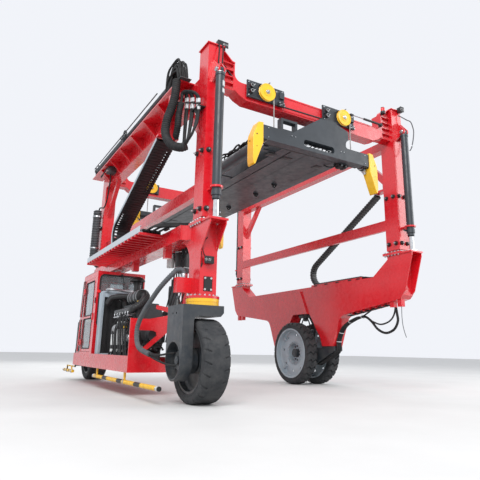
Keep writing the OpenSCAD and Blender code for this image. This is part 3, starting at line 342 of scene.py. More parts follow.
def piece(name, bm, body, finish, smooth=35.0):
    mesh = bpy.data.meshes.new(name)
    bmesh.ops.recalc_face_normals(bm, faces=bm.faces)
    bm.to_mesh(mesh)
    bm.free()
    obj = bpy.data.objects.new(name, mesh)
    bpy.context.scene.collection.objects.link(obj)
    mesh.materials.append(FINISH[finish])
    mesh.polygons.foreach_set("use_smooth", [True] * len(mesh.polygons))
    mesh.set_sharp_from_angle(angle=radians(smooth))
    if body:
        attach(obj, body)
    return obj


def frame_to(axis):
    """Rotation that turns +Z to axis."""
    return Vector(axis).to_track_quat("Z", "Y").to_matrix().to_4x4()


def circle(count, r, u, v):
    """Offsets to points evenly spaced round a circle in the plane of u and v."""
    angles = (tau * i / count for i in range(count))
    return [u * (r * cos(a)) + v * (r * sin(a)) for a in angles]


def shifted(points, at):
    """The points moved by at."""
    return [Vector(at) + Vector(p) for p in points]


def skin(bm, rings, closed=False):
    """Faces from each ring of points to the next, and from the last to the first if closed."""
    for lower, upper in zip(rings, rings[1:] + (rings[:1] if closed else [])):
        for k in range(len(lower)):
            j = (k + 1) % len(lower)
            bm.faces.new((lower[k], lower[j], upper[j], upper[k]))


def drum(bm, at, axis, r, h, segments=24):
    turn = Matrix.Translation(Vector(at) + Vector(axis).normalized() * h / 2) @ frame_to(axis)
    bmesh.ops.create_cone(bm, cap_ends=True, segments=segments, radius1=r, radius2=r, depth=h, matrix=turn)


def tilted_block(bm, centre, size, turn, edge=0.0):
    place = Matrix.Translation(centre) @ turn.to_4x4() @ Matrix.Diagonal((*size, 1))
    made = bmesh.ops.create_cube(bm, size=1.0, matrix=place)
    if edge:
        edges = {e for v in made["verts"] for e in v.link_edges}
        bmesh.ops.bevel(bm, geom=list(edges), offset=edge, segments=2, profile=0.6, affect="EDGES")


def block(bm, a, b, edge=0.0):
    """A block between two opposite corners."""
    low, high = (Vector([pick(pair) for pair in zip(a, b)]) for pick in (min, max))
    tilted_block(bm, (low + high) / 2, high - low, Matrix.Identity(3), edge)


def bolt(bm, at, axis, r=0.016, h=0.012, washer=True):
    axis = Vector(axis).normalized()
    at = Vector(at)
    if washer:
        drum(bm, at, axis, r * 1.35, h * 0.25, 16)
    drum(bm, at + axis * h * 0.2, axis, r, h, 6)
    drum(bm, at + axis * h, axis, r * 0.55, h * 0.7, 10)


def bolt_ring(bm, centre, axis, count, ring_r, r, h=0.012, washer=True):
    """Bolts evenly spaced on a circle square to one of the main axes."""
    plane = [u for u in (X, Y, Z) if not u.dot(axis)]
    for spot in circle(count, ring_r, *plane):
        bolt(bm, Vector(centre) + spot, axis, r, h, washer)


def turned(bm, at, axis, profile, segments=48):
    """A turned form: profile is (radius, height) pairs along axis."""
    turn = Matrix.Translation(Vector(at)) @ frame_to(axis)
    rings = [[bm.verts.new(turn @ (spot + Z * h)) for spot in circle(segments, r, X, Y)] for r, h in profile]
    skin(bm, rings)


def prism(bm, outline, origin, across, up, out, depth):
    """An outline in the plane of across and up, pushed along out."""
    origin, across, up, out = Vector(origin), Vector(across), Vector(up), Vector(out)
    near = [bm.verts.new(origin + across * u + up * v) for u, v in outline]
    far = [bm.verts.new(v.co + out * depth) for v in near]
    bm.faces.new(near)
    bm.faces.new(reversed(far))
    skin(bm, [far, near])


def smooth_path(points, steps=8):
    """A Catmull-Rom line through the points."""
    pts = [Vector(p) for p in points]
    out = []
    for i in range(len(pts) - 1):
        a, b, c, d = pts[max(i - 1, 0)], pts[i], pts[i + 1], pts[min(i + 2, len(pts) - 1)]
        for k in range(steps):
            t = k / steps
            bend = (2 * a - 5 * b + 4 * c - d) * t * t + (3 * b - a - 3 * c + d) * t ** 3
            out.append(0.5 * (2 * b + (c - a) * t + bend))
    out.append(pts[-1])
    return out


def tube(bm, points, r, sides=12, steps=8, ribs=None, caps=True):
    """A hose along the points; ribs is (pitch, height) for a corrugated one."""
    line = smooth_path(points, steps)
    if ribs:
        line = even_path(line, ribs[0] / 4)
    normal = None
    rings = []
    for i, p in enumerate(line):
        t = (line[min(i + 1, len(line) - 1)] - line[max(i - 1, 0)]).normalized()
        if normal is None:
            normal = t.orthogonal().normalized()
        normal = (normal - t * normal.dot(t)).normalized()
        side = t.cross(normal)
        radius = r + (ribs[1] * (0, 0.75, 1, 0.75)[i % 4] if ribs else 0)
        rings.append([bm.verts.new(p + spot) for spot in circle(sides, radius, normal, side)])
    skin(bm, rings)
    if caps:
        bm.faces.new(rings[0])
        bm.faces.new(reversed(rings[-1]))


def even_path(line, step):
    out = [line[0]]
    left = step
    for a, b in zip(line, line[1:]):
        span = (b - a).length
        at = left
        while at <= span:
            out.append(a.lerp(b, at / span))
            at += step
        left = at - span
    return out


def round_outline(a, b, r, n=6):
    """Points round a rectangle with round corners, from corner a to corner b."""
    out = []
    places = ((b[0] - r, b[1] - r, 0), (a[0] + r, b[1] - r, 90), (a[0] + r, a[1] + r, 180),
              (b[0] - r, a[1] + r, 270))
    for cx, cy, start in places:
        for i in range(n + 1):
            t = radians(start + 90 * i / n)
            out.append((cx + r * cos(t), cy + r * sin(t)))
    return out


def hoop(bm, points, r, sides=8, flat=1.0):
    """A closed bead through the points, flattened along its plane's normal."""
    pts = [Vector(p) for p in points]
    n = len(pts)
    middle = sum(pts, Vector()) / n
    normal = (pts[0] - middle).cross(pts[n // 4] - middle).normalized()
    rings = []
    for i, p in enumerate(pts):
        t = (pts[(i + 1) % n] - pts[i - 1]).normalized()
        side = t.cross(normal).normalized()
        rings.append([bm.verts.new(p + spot) for spot in circle(sides, r, side, normal * flat)])
    skin(bm, rings, True)


def hang(bm, a, b, r, sag, swing=(0, 0, 0), sides=8, ribs=None):
    """A hose between two fittings that sags and swings out at its middle."""
    a, b = Vector(a), Vector(b)
    drop = Vector(swing) - Z * sag
    points = [a, a.lerp(b, 0.12) + drop * 0.45, a.lerp(b, 0.32) + drop * 0.88, a.lerp(b, 0.5) + drop,
              a.lerp(b, 0.7) + drop * 0.85, a.lerp(b, 0.9) + drop * 0.4, b]
    tube(bm, points, r, sides, 6, ribs)


def tyre(bm, centre, profile, cut, turns):
    """A tyre turned about X: profile is (x, radius) pairs and cut gives the depth of a groove."""
    rings = []
    for i in range(turns):
        a = tau * i / turns
        ring = []
        for x, r in profile:
            deep = r - cut(a, x, r)
            ring.append(bm.verts.new(centre + Vector((x, deep * sin(a), deep * cos(a)))))
        rings.append(ring)
    skin(bm, rings, True)


def fine_profile(corner_points, step):
    """The same outline with points no further apart than step."""
    out = []
    n = len(corner_points)
    for i in range(n):
        a, b = Vector(corner_points[i]), Vector(corner_points[(i + 1) % n])
        parts = max(1, ceil((b - a).length / step)) if a[1] > 0.5 and b[1] > 0.5 else 1
        out += [tuple(a.lerp(b, k / parts)) for k in range(parts)]
    return out


def wall(value, half, edge):
    """1 inside a band and 0 outside, with a short slope between."""
    return min(1.0, max(0, (half - abs(value)) / edge + 0.5))


def corners():
    return [(sx, sy) for sx in (-1, 1) for sy in (-1, 1)]


# Pieces

class CarrierSizes(bpy.types.PropertyGroup):
    bolt_r: bpy.props.FloatProperty(
        name="Bolt head", description="Half the width of a flange bolt's head", default=0.017, unit="LENGTH")
    hose_d: bpy.props.FloatProperty(
        name="Pressure hose", description="Outside diameter of a pressure hose", default=0.034, unit="LENGTH")
    weld: bpy.props.FloatProperty(
        name="Weld bead", description="Width of a weld bead", default=0.012, unit="LENGTH")


class CarrierLook(bpy.types.PropertyGroup):
    floor_colour: bpy.props.FloatVectorProperty(
        name="Floor", description="Colour of the floor", default=(0.62, 0.62, 0.61), subtype="COLOR")
    sky_colour: bpy.props.FloatVectorProperty(
        name="Surround", description="Colour of the studio's surround", default=(0.93, 0.95, 1.0),
        subtype="COLOR")


class CARRIER_OT_finishes(bpy.types.Operator):
    """Gives every solid its finish"""
    bl_idname = "carrier.finishes"
    bl_label = "Finishes"

    def execute(self, context):
        make_finishes()
        finish_nodes()
        return {"FINISHED"}


class CARRIER_OT_bolts(bpy.types.Operator):
    """Bolts of the flanges, slew rings, foot plates and cover"""
    bl_idname = "carrier.bolts"
    bl_label = "Bolts"

    def execute(self, context):
        r = context.scene.carrier_sizes.bolt_r
        bm = bmesh.new()
        for sx, sy in corners():
            cx, cy = sx * GAUGE, sy * (COLUMN_FRONT + POST_BACK) / 2
            hx, hy = COLUMN_W / 2 + 0.015, 0.365 / 2 + 0.013
            spots = [(cx + hx * s, cy + hy * t) for s in (-1, 1) for t in (-0.8, -0.4, 0, 0.4, 0.8)]
            spots += [(cx + hx * t, cy + hy * s) for s in (-1, 1) for t in (-0.75, 0, 0.75)]
            for x, y in spots:
                bolt(bm, (x, y, SEAT_Z + 0.022), Z, r)
                bolt(bm, (x, y, SEAT_Z - 0.022), -Z, r)
        for cy in (-BASE, BASE):
            bolt_ring(bm, (-GAUGE, cy, SLEW_TOP + 0.035), Z, 20, 0.212, 0.014)
        for sy in (-1, 1):
            for y in (0.76, 0.83, 0.9, 0.97, 1.04):
                for x in (GAUGE - 0.09, GAUGE + 0.09):
                    bolt(bm, (x, sy * y, 0.785), -Z, 0.014)
        piece("flange_bolts", bm, "chassis", "zinc")
        bm = bmesh.new()
        for x in (-0.047, 0.047):
            for z in (1.497, 1.653):
                bolt(bm, (-GAUGE + x, -COLUMN_FRONT - 0.006, z), -Y, 0.011)
        piece("cover_bolts", bm, "chassis", "white")
        return {"FINISHED"}


class CARRIER_OT_wheels(bpy.types.Operator):
    """Bolts, clips and rings of the wheels, and the rings of the forks"""
    bl_idname = "carrier.wheels"
    bl_label = "Wheel fittings"

    def execute(self, context):
        bm = bmesh.new()
        for out in (-X, X):
            hub = TWIN_AXLE + out * TWIN_FACE
            bolt_ring(bm, hub, out, 24, 0.242, 0.013, 0.014)
            for i in range(4):
                a = radians(45 + 90 * i)
                spoke = Vector((0, cos(a), sin(a)))
                turn = Matrix((out, out.cross(spoke), spoke)).transposed()
                tilted_block(bm, hub + spoke * 0.435 + out * 0.022, (0.05, 0.024, 0.105), turn, 0.005)
            lip = [(0.5, 0.256), (0.5, 0.27), (0.528, 0.272), (0.531, 0.262)]
            turned(bm, TWIN_AXLE + out * TWIN_GAP, out, lip, 72)
        piece("twin_wheel_fittings", bm, "twin_wheel", "rim")
        bm = bmesh.new()
        for out in (-X, X):
            bolt_ring(bm, TWIN_AXLE + out * TWIN_FACE, out, 20, 0.215, 0.011, 0.016, False)
        piece("twin_wheel_nuts", bm, "twin_wheel", "zinc")
        bm = bmesh.new()
        for out in (-X, X):
            hub = TWIN_AXLE + out * (TWIN_GAP + 0.062)
            drum(bm, hub, out, 0.088, 0.03, 32)
            drum(bm, TWIN_AXLE + out * TWIN_FACE, out, 0.06, 0.012, 24)
            bolt_ring(bm, hub - out * 0.002, out, 12, 0.15, 0.013, 0.016)
        piece("twin_hub_bolts", bm, "twin_wheel", "cast")
        for end, axle in STEERED:
            bm = bmesh.new()
            bolt_ring(bm, axle + X * 0.02, X, 16, 0.115, 0.012, 0.014)
            turned(bm, axle, X, [(0.398, 0.158), (0.398, 0.172), (0.421, 0.174), (0.424, 0.168)], 72)
            piece(end + "_wheel_fittings", bm, end + "_wheel", "grey")
        for end, axle in STEERED:
            bm = bmesh.new()
            lip = [(0.236, -0.02), (0.236, 0.008), (0.247, 0.01), (0.256, 0.004), (0.257, -0.001)]
            turned(bm, axle - X * 0.395, -X, lip, 64)
            bolt_ring(bm, axle - X * 0.275, -X, 10, 0.19, 0.014, 0.016)
            drum(bm, axle - X * 0.275, -X, 0.12, 0.045, 40)
            drum(bm, axle - X * 0.32, -X, 0.055, 0.03, 24)
            piece(end + "_fork_ring", bm, end + "_steering", "grey")
            bm = bmesh.new()
            corner = Vector((-GAUGE - 0.315, axle.y + 0.13, FORK_TOP))
            cap = [(0, 0), (0.06, 0.001), (0.055, 0.008), (0.03, 0.09), (0.028, 0.098), (0, 0.099)]
            turned(bm, corner, Z, cap, 24)
            lead = [(0, 0, 0.115), (0.04, 0.09, 0.15), (0.1, 0.22, 0.155)]
            tube(bm, shifted(lead, corner), 0.008, 8, 4)
            piece(end + "_angle_sensor", bm, end + "_steering", "black")
        return {"FINISHED"}


class CARRIER_OT_tyres(bpy.types.Operator):
    """Tyres with their tread and side walls"""
    bl_idname = "carrier.tyres"
    bl_label = "Tyres"

    def execute(self, context):
        half = 0.19
        outline = [(-half + 0.016, 0.425), (-half + 0.003, 0.44), (-half, 0.452), (-half + 0.004, 0.458),
                   (-half + 0.004, 0.47), (-half, 0.476), (-half, 0.5), (-half + 0.003, 0.518),
                   (-half + 0.012, 0.536), (-half + 0.028, 0.549), (-half + 0.05, 0.5545), (-0.1, 0.555)]
        outline += [(-x, r) for x, r in reversed(outline)]
        profile = fine_profile(outline, 0.007)
        for end, axle in STEERED:
            bm = bmesh.new()
            tyre(bm, axle, profile, self.hooks, 720)
            node = end + "_wheel_tyre"
            obj = piece(node + "_tread", bm, end + "_wheel", "tyre", 40)
            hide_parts(node)
        bm = bmesh.new()
        wide = 0.27
        outline = [(0.004, 0.53), (0, 0.548), (0.003, 0.556), (0.003, 0.572), (0, 0.578), (0, 0.606),
                   (0.006, 0.626), (0.016, 0.64), (0.034, 0.6525), (0.06, 0.6585), (0.11, 0.66)]
        outline += [(wide - x, r) for x, r in reversed(outline)]
        profile = fine_profile(outline, 0.0085)
        for side in (-1, 1):
            placed = [(side * (TWIN_GAP + x), r) for x, r in profile]
            tyre(bm, TWIN_AXLE, placed, self.zigzag, 640)
        obj = piece("twin_tyre_treads", bm, "twin_wheel", "tyre", 40)
        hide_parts("twin_tyres")
        return {"FINISHED"}

    @staticmethod
    def hooks(a, x, r):
        """Depth of a steered tyre's hooked grooves at an angle, a place across and a radius."""
        if abs(x) < 0.085 or r < 0.512:
            return 0.0
        pitch = tau / 22
        inward = 0.19 - abs(x)
        bend = 0.01 * sin(min(inward, 0.1) / 0.1 * tau / 4) + 0.3 * inward
        along = ((a + (0.5 if x > 0 else 0) * pitch) % pitch - pitch / 2) * STEER_R + bend
        width = 0.0105 - 0.03 * max(0, inward - 0.06)
        fade = min(1.0, max(0, (0.098 - inward) / 0.008))
        return 0.015 * wall(along, width, 0.006) * fade

    @staticmethod
    def zigzag(a, x, r):
        """Depth of a twin tyre's zigzag grooves and their notches."""
        if r < 0.612:
            return 0.0
        across = abs(x) - TWIN_GAP
        middle = 0.135
        pitch = tau / 26
        wave = (abs((across / middle) % 1.0 * 2 - 1) - 0.5) * 0.062
        along = ((a + (0.5 if x > 0 else 0) * pitch) % pitch - pitch / 2) * TWIN_R + wave
        depth = 0.03 * wall(along, 0.0145, 0.007)
        notch = 0.01 * wall(along - pitch * 0.33, 0.004, 0.004) * wall(across - middle, 0.052, 0.01)
        return max(depth, notch)


class CARRIER_OT_engine(bpy.types.Operator):
    """Engine fittings: pipes, pulleys, ducts, hoses, filters and their caps"""
    bl_idname = "carrier.engine"
    bl_label = "Engine fittings"

    def execute(self, context):
        black, alloy, cast, hoses, zinc = (bmesh.new() for _ in range(5))
        # rocker cover with its bolts and ribs
        nozzle = [(0, 0), (0.016, 0.001), (0.016, 0.02), (0.01, 0.022), (0.01, 0.04), (0, 0.041)]
        for i in range(6):
            y = -1.08 + 0.152 * i
            for x in (-2.318, -1.982):
                bolt(zinc, (x, y + 0.03, 1.34), Z, 0.01, 0.012)
            block(cast, (-2.312, y - 0.004, 1.43), (-1.988, y + 0.012, 1.44), 0.003)
            turned(zinc, (-2.415, y + 0.02, 1.225), -X, nozzle, 12)
            line = [(-2.455, 0.02, 1.225), (-2.48, 0.02, 1.235), (-2.48, 0.03, 1.29), (-2.43, 0.03, 1.33),
                    (-2.36, 0.03, 1.35)]
            tube(zinc, shifted(line, Y * y), 0.0045, 8, 5)
            # branches of the intake manifold
            branch = [(-2.36, y + 0.02, 1.26), (-2.41, y + 0.02, 1.275), (-2.445, y + 0.02, 1.3)]
            tube(alloy, branch, 0.03, 12, 4)
        drum(alloy, (-2.445, -1.13, 1.315), Y, 0.042, 0.88, 20)
        drum(zinc, (-2.48, -1.12, 1.225), Y, 0.013, 0.86, 12)
        # ribs of the crankcase
        for i in range(9):
            y = -1.16 + 0.115 * i
            for x in (-2.404, -1.912):
                block(cast, (x, y, 0.77), (x + 0.016, y + 0.018, 1.13), 0.003)
        # starter, alternator and compressor on the outer side
        motors = ((-2.445, -1.04, 0.86, 0.059, 0.26), (-2.462, -0.45, 1.02, 0.082, 0.15),
                  (-2.462, -0.72, 0.84, 0.048, 0.16))
        for x, y, z, r, h in motors:
            at = Vector((x, y, z))
            half = [(0, -h / 2), (r * 0.55, -h / 2), (r * 0.9, -h / 2 + 0.012), (r, -h / 2 + 0.03)]
            other = [(r, h / 2 - 0.03), (r * 0.9, h / 2 - 0.012), (r * 0.5, h / 2), (0, h / 2)]
            turned(alloy, at, Y, half + other, 28)
            for spot in circle(10, r * 0.62, X, Z):
                drum(black, at + Y * h / 2 + spot, Y, 0.01, 0.003, 8)
            block(cast, (-2.42, y - 0.02, z - 0.03), (-2.385, y + 0.02, z + 0.03), 0.004)
        # belt drive towards the fan
        for x, z, r in ((-2.15, 1.02, 0.094), (-2.4, 1.05, 0.048), (-2.06, 0.82, 0.085), (-2.33, 0.8, 0.04)):
            groove = [(r, 0), (r, 0.006), (r - 0.01, 0.01), (r - 0.01, 0.026), (r, 0.03), (r, 0.036)]
            turned(alloy, (x, -0.172, z), Y, [(0.02, 0), *groove, (0.02, 0.036)], 32)
        belt = [(-2.145, 1.116), (-2.405, 1.1), (-2.448, 1.06), (-2.372, 0.8), (-2.335, 0.76),
                (-2.07, 0.735), (-1.978, 0.8), (-2.055, 1.04)]
        hoop(black, [(x, -0.154, z) for x, z in belt], 0.01, 6, 0.9)
        # air cleaner: bands, rain cap and the duct to the engine
        cleaner = Vector((-2.18, 0, 1.57))
        for y in (-0.84, -0.7, -0.52, -0.385):
            hoop(zinc, shifted(circle(40, 0.122, X, Z), cleaner + Y * y), 0.006, 6)
        lid = [(0.12, -0.01), (0.124, 0), (0.118, 0.022), (0.075, 0.032), (0.062, 0.034), (0.06, 0.06)]
        turned(black, cleaner - Y * 0.85, -Y, lid, 36)
        duct = [(-2.18, -0.87, 1.57), (-2.18, -0.96, 1.57), (-2.2, -1.09, 1.555), (-2.27, -1.215, 1.485),
                (-2.37, -1.265, 1.385), (-2.445, -1.235, 1.325), (-2.445, -1.155, 1.315),
                (-2.445, -1.128, 1.315)]
        tube(black, duct, 0.056, 20, 8, ribs=(0.034, 0.006))
        for k in range(24):
            t = tau * k / 24
            spot = Vector((-2.18 + 0.066 * cos(t), -0.5 + 0.066 * sin(t), 1.835))
            tilted_block(black, spot, (0.006, 0.009, 0.055), Matrix.Rotation(t, 3, "Z"))
        dome = [(0.128, 0), (0.136, 0.004), (0.134, 0.018), (0.11, 0.052), (0.072, 0.08), (0.02, 0.09),
                (0, 0.091)]
        turned(black, (-2.18, -0.5, 1.862), Z, dome, 40)
        outlet = [(-2.17, -0.37, 1.6), (-2.16, -0.25, 1.62), (-2.2, -0.1, 1.63), (-2.32, 0.05, 1.63),
                  (-2.44, 0.16, 1.6), (-2.49, 0.22, 1.5)]
        tube(black, outlet, 0.052, 18, 8, ribs=(0.03, 0.005))
        # coolant hoses
        tube(hoses, [(-2.22, 0.315, 1.6), (-2.22, 0.22, 1.59), (-2.23, 0.08, 1.53), (-2.24, -0.06, 1.42),
                     (-2.23, -0.15, 1.33), (-2.22, -0.22, 1.26)], 0.032, 16, 8)
        tube(hoses, [(-2.06, 0.315, 0.68), (-2.06, 0.24, 0.66), (-2.07, 0.1, 0.64), (-2.1, -0.05, 0.7),
                     (-2.1, -0.16, 0.8), (-2.1, -0.21, 0.86)], 0.03, 16, 8)
        clip = [(0.034, -0.007), (0.037, -0.006), (0.037, 0.006), (0.034, 0.007)]
        for x, y, z, axis in ((-2.22, 0.27, 1.597, Y), (-2.06, 0.27, 0.67, Y), (-2.226, -0.19, 1.3, Z)):
            turned(zinc, (x, y, z), axis, clip, 24)
        # turbine casing and exhaust on the inner side
        turned(cast, (-1.86, -0.74, 1.24), Y, [(0, -0.09), (0.045, -0.09), (0.085, -0.06), (0.105, 0),
                                               (0.085, 0.06), (0.045, 0.08), (0, 0.08)], 32)
        tube(cast, [(-1.86, -0.82, 1.24), (-1.83, -0.95, 1.26), (-1.79, -1.08, 1.32), (-1.76, -1.15, 1.42),
                    (-1.75, -1.17, 1.6), (-1.75, -1.17, 1.86)], 0.042, 18, 8)
        turned(cast, (-1.75, -1.17, 1.42), Z, [(0.045, 0), (0.085, 0.02), (0.085, 0.3), (0.045, 0.33)], 32)
        for y in (-1.05, -0.85, -0.55, -0.35):
            tube(cast, [(-1.94, y, 1.24), (-1.89, y, 1.25), (-1.87, y * 0.7 - 0.22, 1.25)], 0.03, 12, 4)
        # pump, valve block and the hoses from it
        pump = Vector((-2.15, -1.33, 0.9))
        bolt_ring(zinc, pump, -Y, 8, 0.2, 0.011)
        flange = [(0.115, 0), (0.13, 0.01), (0.13, 0.03), (0.112, 0.035), (0.112, 0.12), (0.09, 0.152),
                  (0, 0.156)]
        turned(cast, pump, -Y, flange, 32)
        block(alloy, (-2.46, -1.5, 0.52), (-2.26, -1.36, 0.66), 0.006)
        block(alloy, (-2.42, -1.48, 0.66), (-2.34, -1.39, 0.74), 0.006)
        port = [(0, 0.1), (0.014, 0.1), (0.016, 0.09), (0.016, 0.03), (0.02, 0.028), (0.02, 0)]
        for k in range(4):
            turned(zinc, (-2.44 + 0.05 * k, -1.43, 0.66), Z, port, 12)
        draw = Random(7).random
        for k in range(22):
            a = (-2.44 + 0.45 * draw(), -1.52 + 0.2 * draw(), 0.56 + 0.3 * draw())
            b = (-2.46 + 0.5 * draw(), -1.18 + 0.15 * draw(), 0.7 + 0.6 * draw())
            hang(hoses, a, b, 0.011 + 0.008 * draw(), 0.1 * draw(), (0.1 * (draw() - 0.7), -0.1 * draw(), 0))
        for k in range(10):
            a = (-2.43, -1.1 + 0.1 * k, 0.78 + 0.05 * (k % 3))
            b = (-2.47 + 0.03 * draw(), -1.16 + 0.12 * k, 0.42)
            hang(hoses, a, b, 0.009 + 0.005 * draw(), 0.06, (-0.06, 0.05 * (draw() - 0.5), 0))
        # filters: heads, lines and a drain bowl
        for x, y, top, r in ((-2.45, -0.3, 0.99, 0.062), (-2.455, -0.57, 1.07, 0.055),
                             (-2.455, -0.77, 1.07, 0.055)):
            head = [(r * 0.98, 0), (r * 1.1, 0.004), (r * 1.1, 0.028), (r * 0.8, 0.05), (r * 0.5, 0.058),
                    (0, 0.06)]
            turned(cast, (x, y, top - 0.002), Z, head, 28)
            bowl = [(r, -0.003), (r * 0.96, 0.006), (r * 0.75, 0.03), (r * 0.45, 0.045), (0.014, 0.05),
                    (0.014, 0.07), (0, 0.071)]
            turned(black, (x, y, 0.64), -Z, bowl, 24)
            feed = [(-0.03, -0.03, 0.05), (-0.035, -0.05, 0.13), (-0.01, -0.1, 0.2), (0.06, -0.15, 0.18)]
            drain = [(0.01, 0.03, 0.05), (-0.02, 0.07, 0.12), (-0.03, 0.13, 0.08), (0.02, 0.18, -0.03)]
            for route in (feed, drain):
                tube(hoses, shifted(route, (x, y, top)), 0.012, 10, 6)
        piece("engine_black_parts", black, "chassis", "black")
        piece("engine_alloy_parts", alloy, "chassis", "alloy")
        piece("engine_cast_parts", cast, "chassis", "cast")
        piece("engine_hoses", hoses, "chassis", "hose", 60)
        piece("engine_fasteners", zinc, "chassis", "zinc")
        bm = bmesh.new()
        turned(bm, (-2.28, -0.98, 1.438), Z,
               [(0, 0.045), (0.026, 0.044), (0.034, 0.036), (0.036, 0.012), (0.03, 0.01), (0.03, 0)], 24)
        turned(bm, (-2.475, -0.93, 1.02), Z,
               [(0, 0.038), (0.022, 0.037), (0.026, 0.03), (0.026, 0.004), (0.018, 0)], 20)
        piece("engine_filler_caps", bm, "chassis", "yellow")
        return {"FINISHED"}


class CARRIER_OT_bay_hoses(bpy.types.Operator):
    """Caps and bands of the filters, and the loops of hose in front of the engine"""
    bl_idname = "carrier.bay_hoses"
    bl_label = "Engine bay hoses"

    def execute(self, context):
        caps, hoses, ends = (bmesh.new() for _ in range(3))
        for x, y, top, r in ((-2.456, -0.3, 0.99, 0.062), (-2.455, -0.57, 1.07, 0.055),
                             (-2.455, -0.77, 1.07, 0.055)):
            band = [(r, 0), (r + 0.004, 0.002), (r + 0.004, 0.05), (r, 0.057)]
            turned(caps, (x, y, top - 0.055), Z, band, 28)
            cup = [(r, 0.112), (r + 0.002, 0.11), (r + 0.002, 0.06), (r - 0.006, 0), (r - 0.014, -0.03),
                   (0, -0.04)]
            turned(caps, (x, y, 0.64), Z, cup, 28)
        draw = Random(29).random
        for k in range(9):
            y0 = -0.4 - 0.095 * k
            y1 = max(-1.4, y0 - 0.1 - 0.35 * draw())
            top = 0.95 + 0.38 * draw()
            low = 0.41 + 0.1 * draw()
            x = -2.52 - 0.03 * draw()
            r = 0.009 + 0.006 * draw()
            route = [(-2.4, y0, top), (-2.47, y0 - 0.01, top + 0.01), (x, y0 - 0.03, top - 0.1),
                     (x - 0.005, (y0 + y1) / 2, (top + low) / 2 - 0.1), (x, y1 + 0.02, low + 0.06),
                     (-2.46, y1, low), (-2.38, y1, low)]
            tube(hoses, route, r, 8, 6)
            for x, y, z in ((-2.425, y0, top), (-2.41, y1, low)):
                drum(ends, (x, y, z), -X, r * 1.5, 0.04, 6)
        piece("filter_caps", caps, "chassis", "black")
        piece("engine_bay_hoses", hoses, "chassis", "hose", 60)
        piece("engine_bay_hose_ends", ends, "chassis", "steel")
        return {"FINISHED"}


class CARRIER_OT_radiator(bpy.types.Operator):
    """Radiator core, tanks, cap and pipes"""
    bl_idname = "carrier.radiator"
    bl_label = "Radiator fittings"

    def execute(self, context):
        bm = bmesh.new()
        for sign, y in ((-1, 0.329), (1, 0.441)):
            block(bm, (-2.538, y, 0.602), (-1.952, y + sign * 0.006, 1.638))
            for i in range(84):
                x = -2.536 + 0.583 * (i + 0.5) / 84
                block(bm, (x - 0.001, y, 0.604), (x + 0.001, y + sign * 0.012, 1.636))
        piece("radiator_fins", bm, "chassis", "core")
        bm = bmesh.new()
        for y0, y1 in ((0.286, 0.301), (0.469, 0.484)):
            for x0, x1 in ((-2.585, -2.535), (-1.955, -1.905)):
                block(bm, (x0, y0, 0.56), (x1, y1, 1.72), 0.004)
            block(bm, (-2.535, y0, 0.56), (-1.955, y1, 0.604), 0.004)
            block(bm, (-2.535, y0, 1.632), (-1.955, y1, 1.7), 0.004)
        block(bm, (-2.575, 0.3, 1.7), (-1.915, 0.47, 1.745), 0.012)
        for i in range(12):
            for x in (-2.56, -1.93):
                bolt(bm, (x, 0.286, 0.62 + 0.094 * i), -Y, 0.007, 0.008, False)
        piece("radiator_frame", bm, "chassis", "rim")
        bm = bmesh.new()
        tube(bm, [(-2.5, 0.31, 1.765), (-2.5, 0.22, 1.775), (-2.47, 0.13, 1.765), (-2.33, 0.11, 1.755),
                  (-2.1, 0.13, 1.755), (-1.98, 0.2, 1.765), (-1.97, 0.31, 1.765)], 0.022, 14, 6)
        turned(bm, (-2.25, 0.385, 1.745), Z,
               [(0.04, 0), (0.04, 0.018), (0.046, 0.02), (0.046, 0.034), (0.02, 0.04), (0, 0.041)], 24)
        piece("radiator_pipe", bm, "chassis", "zinc")
        return {"FINISHED"}


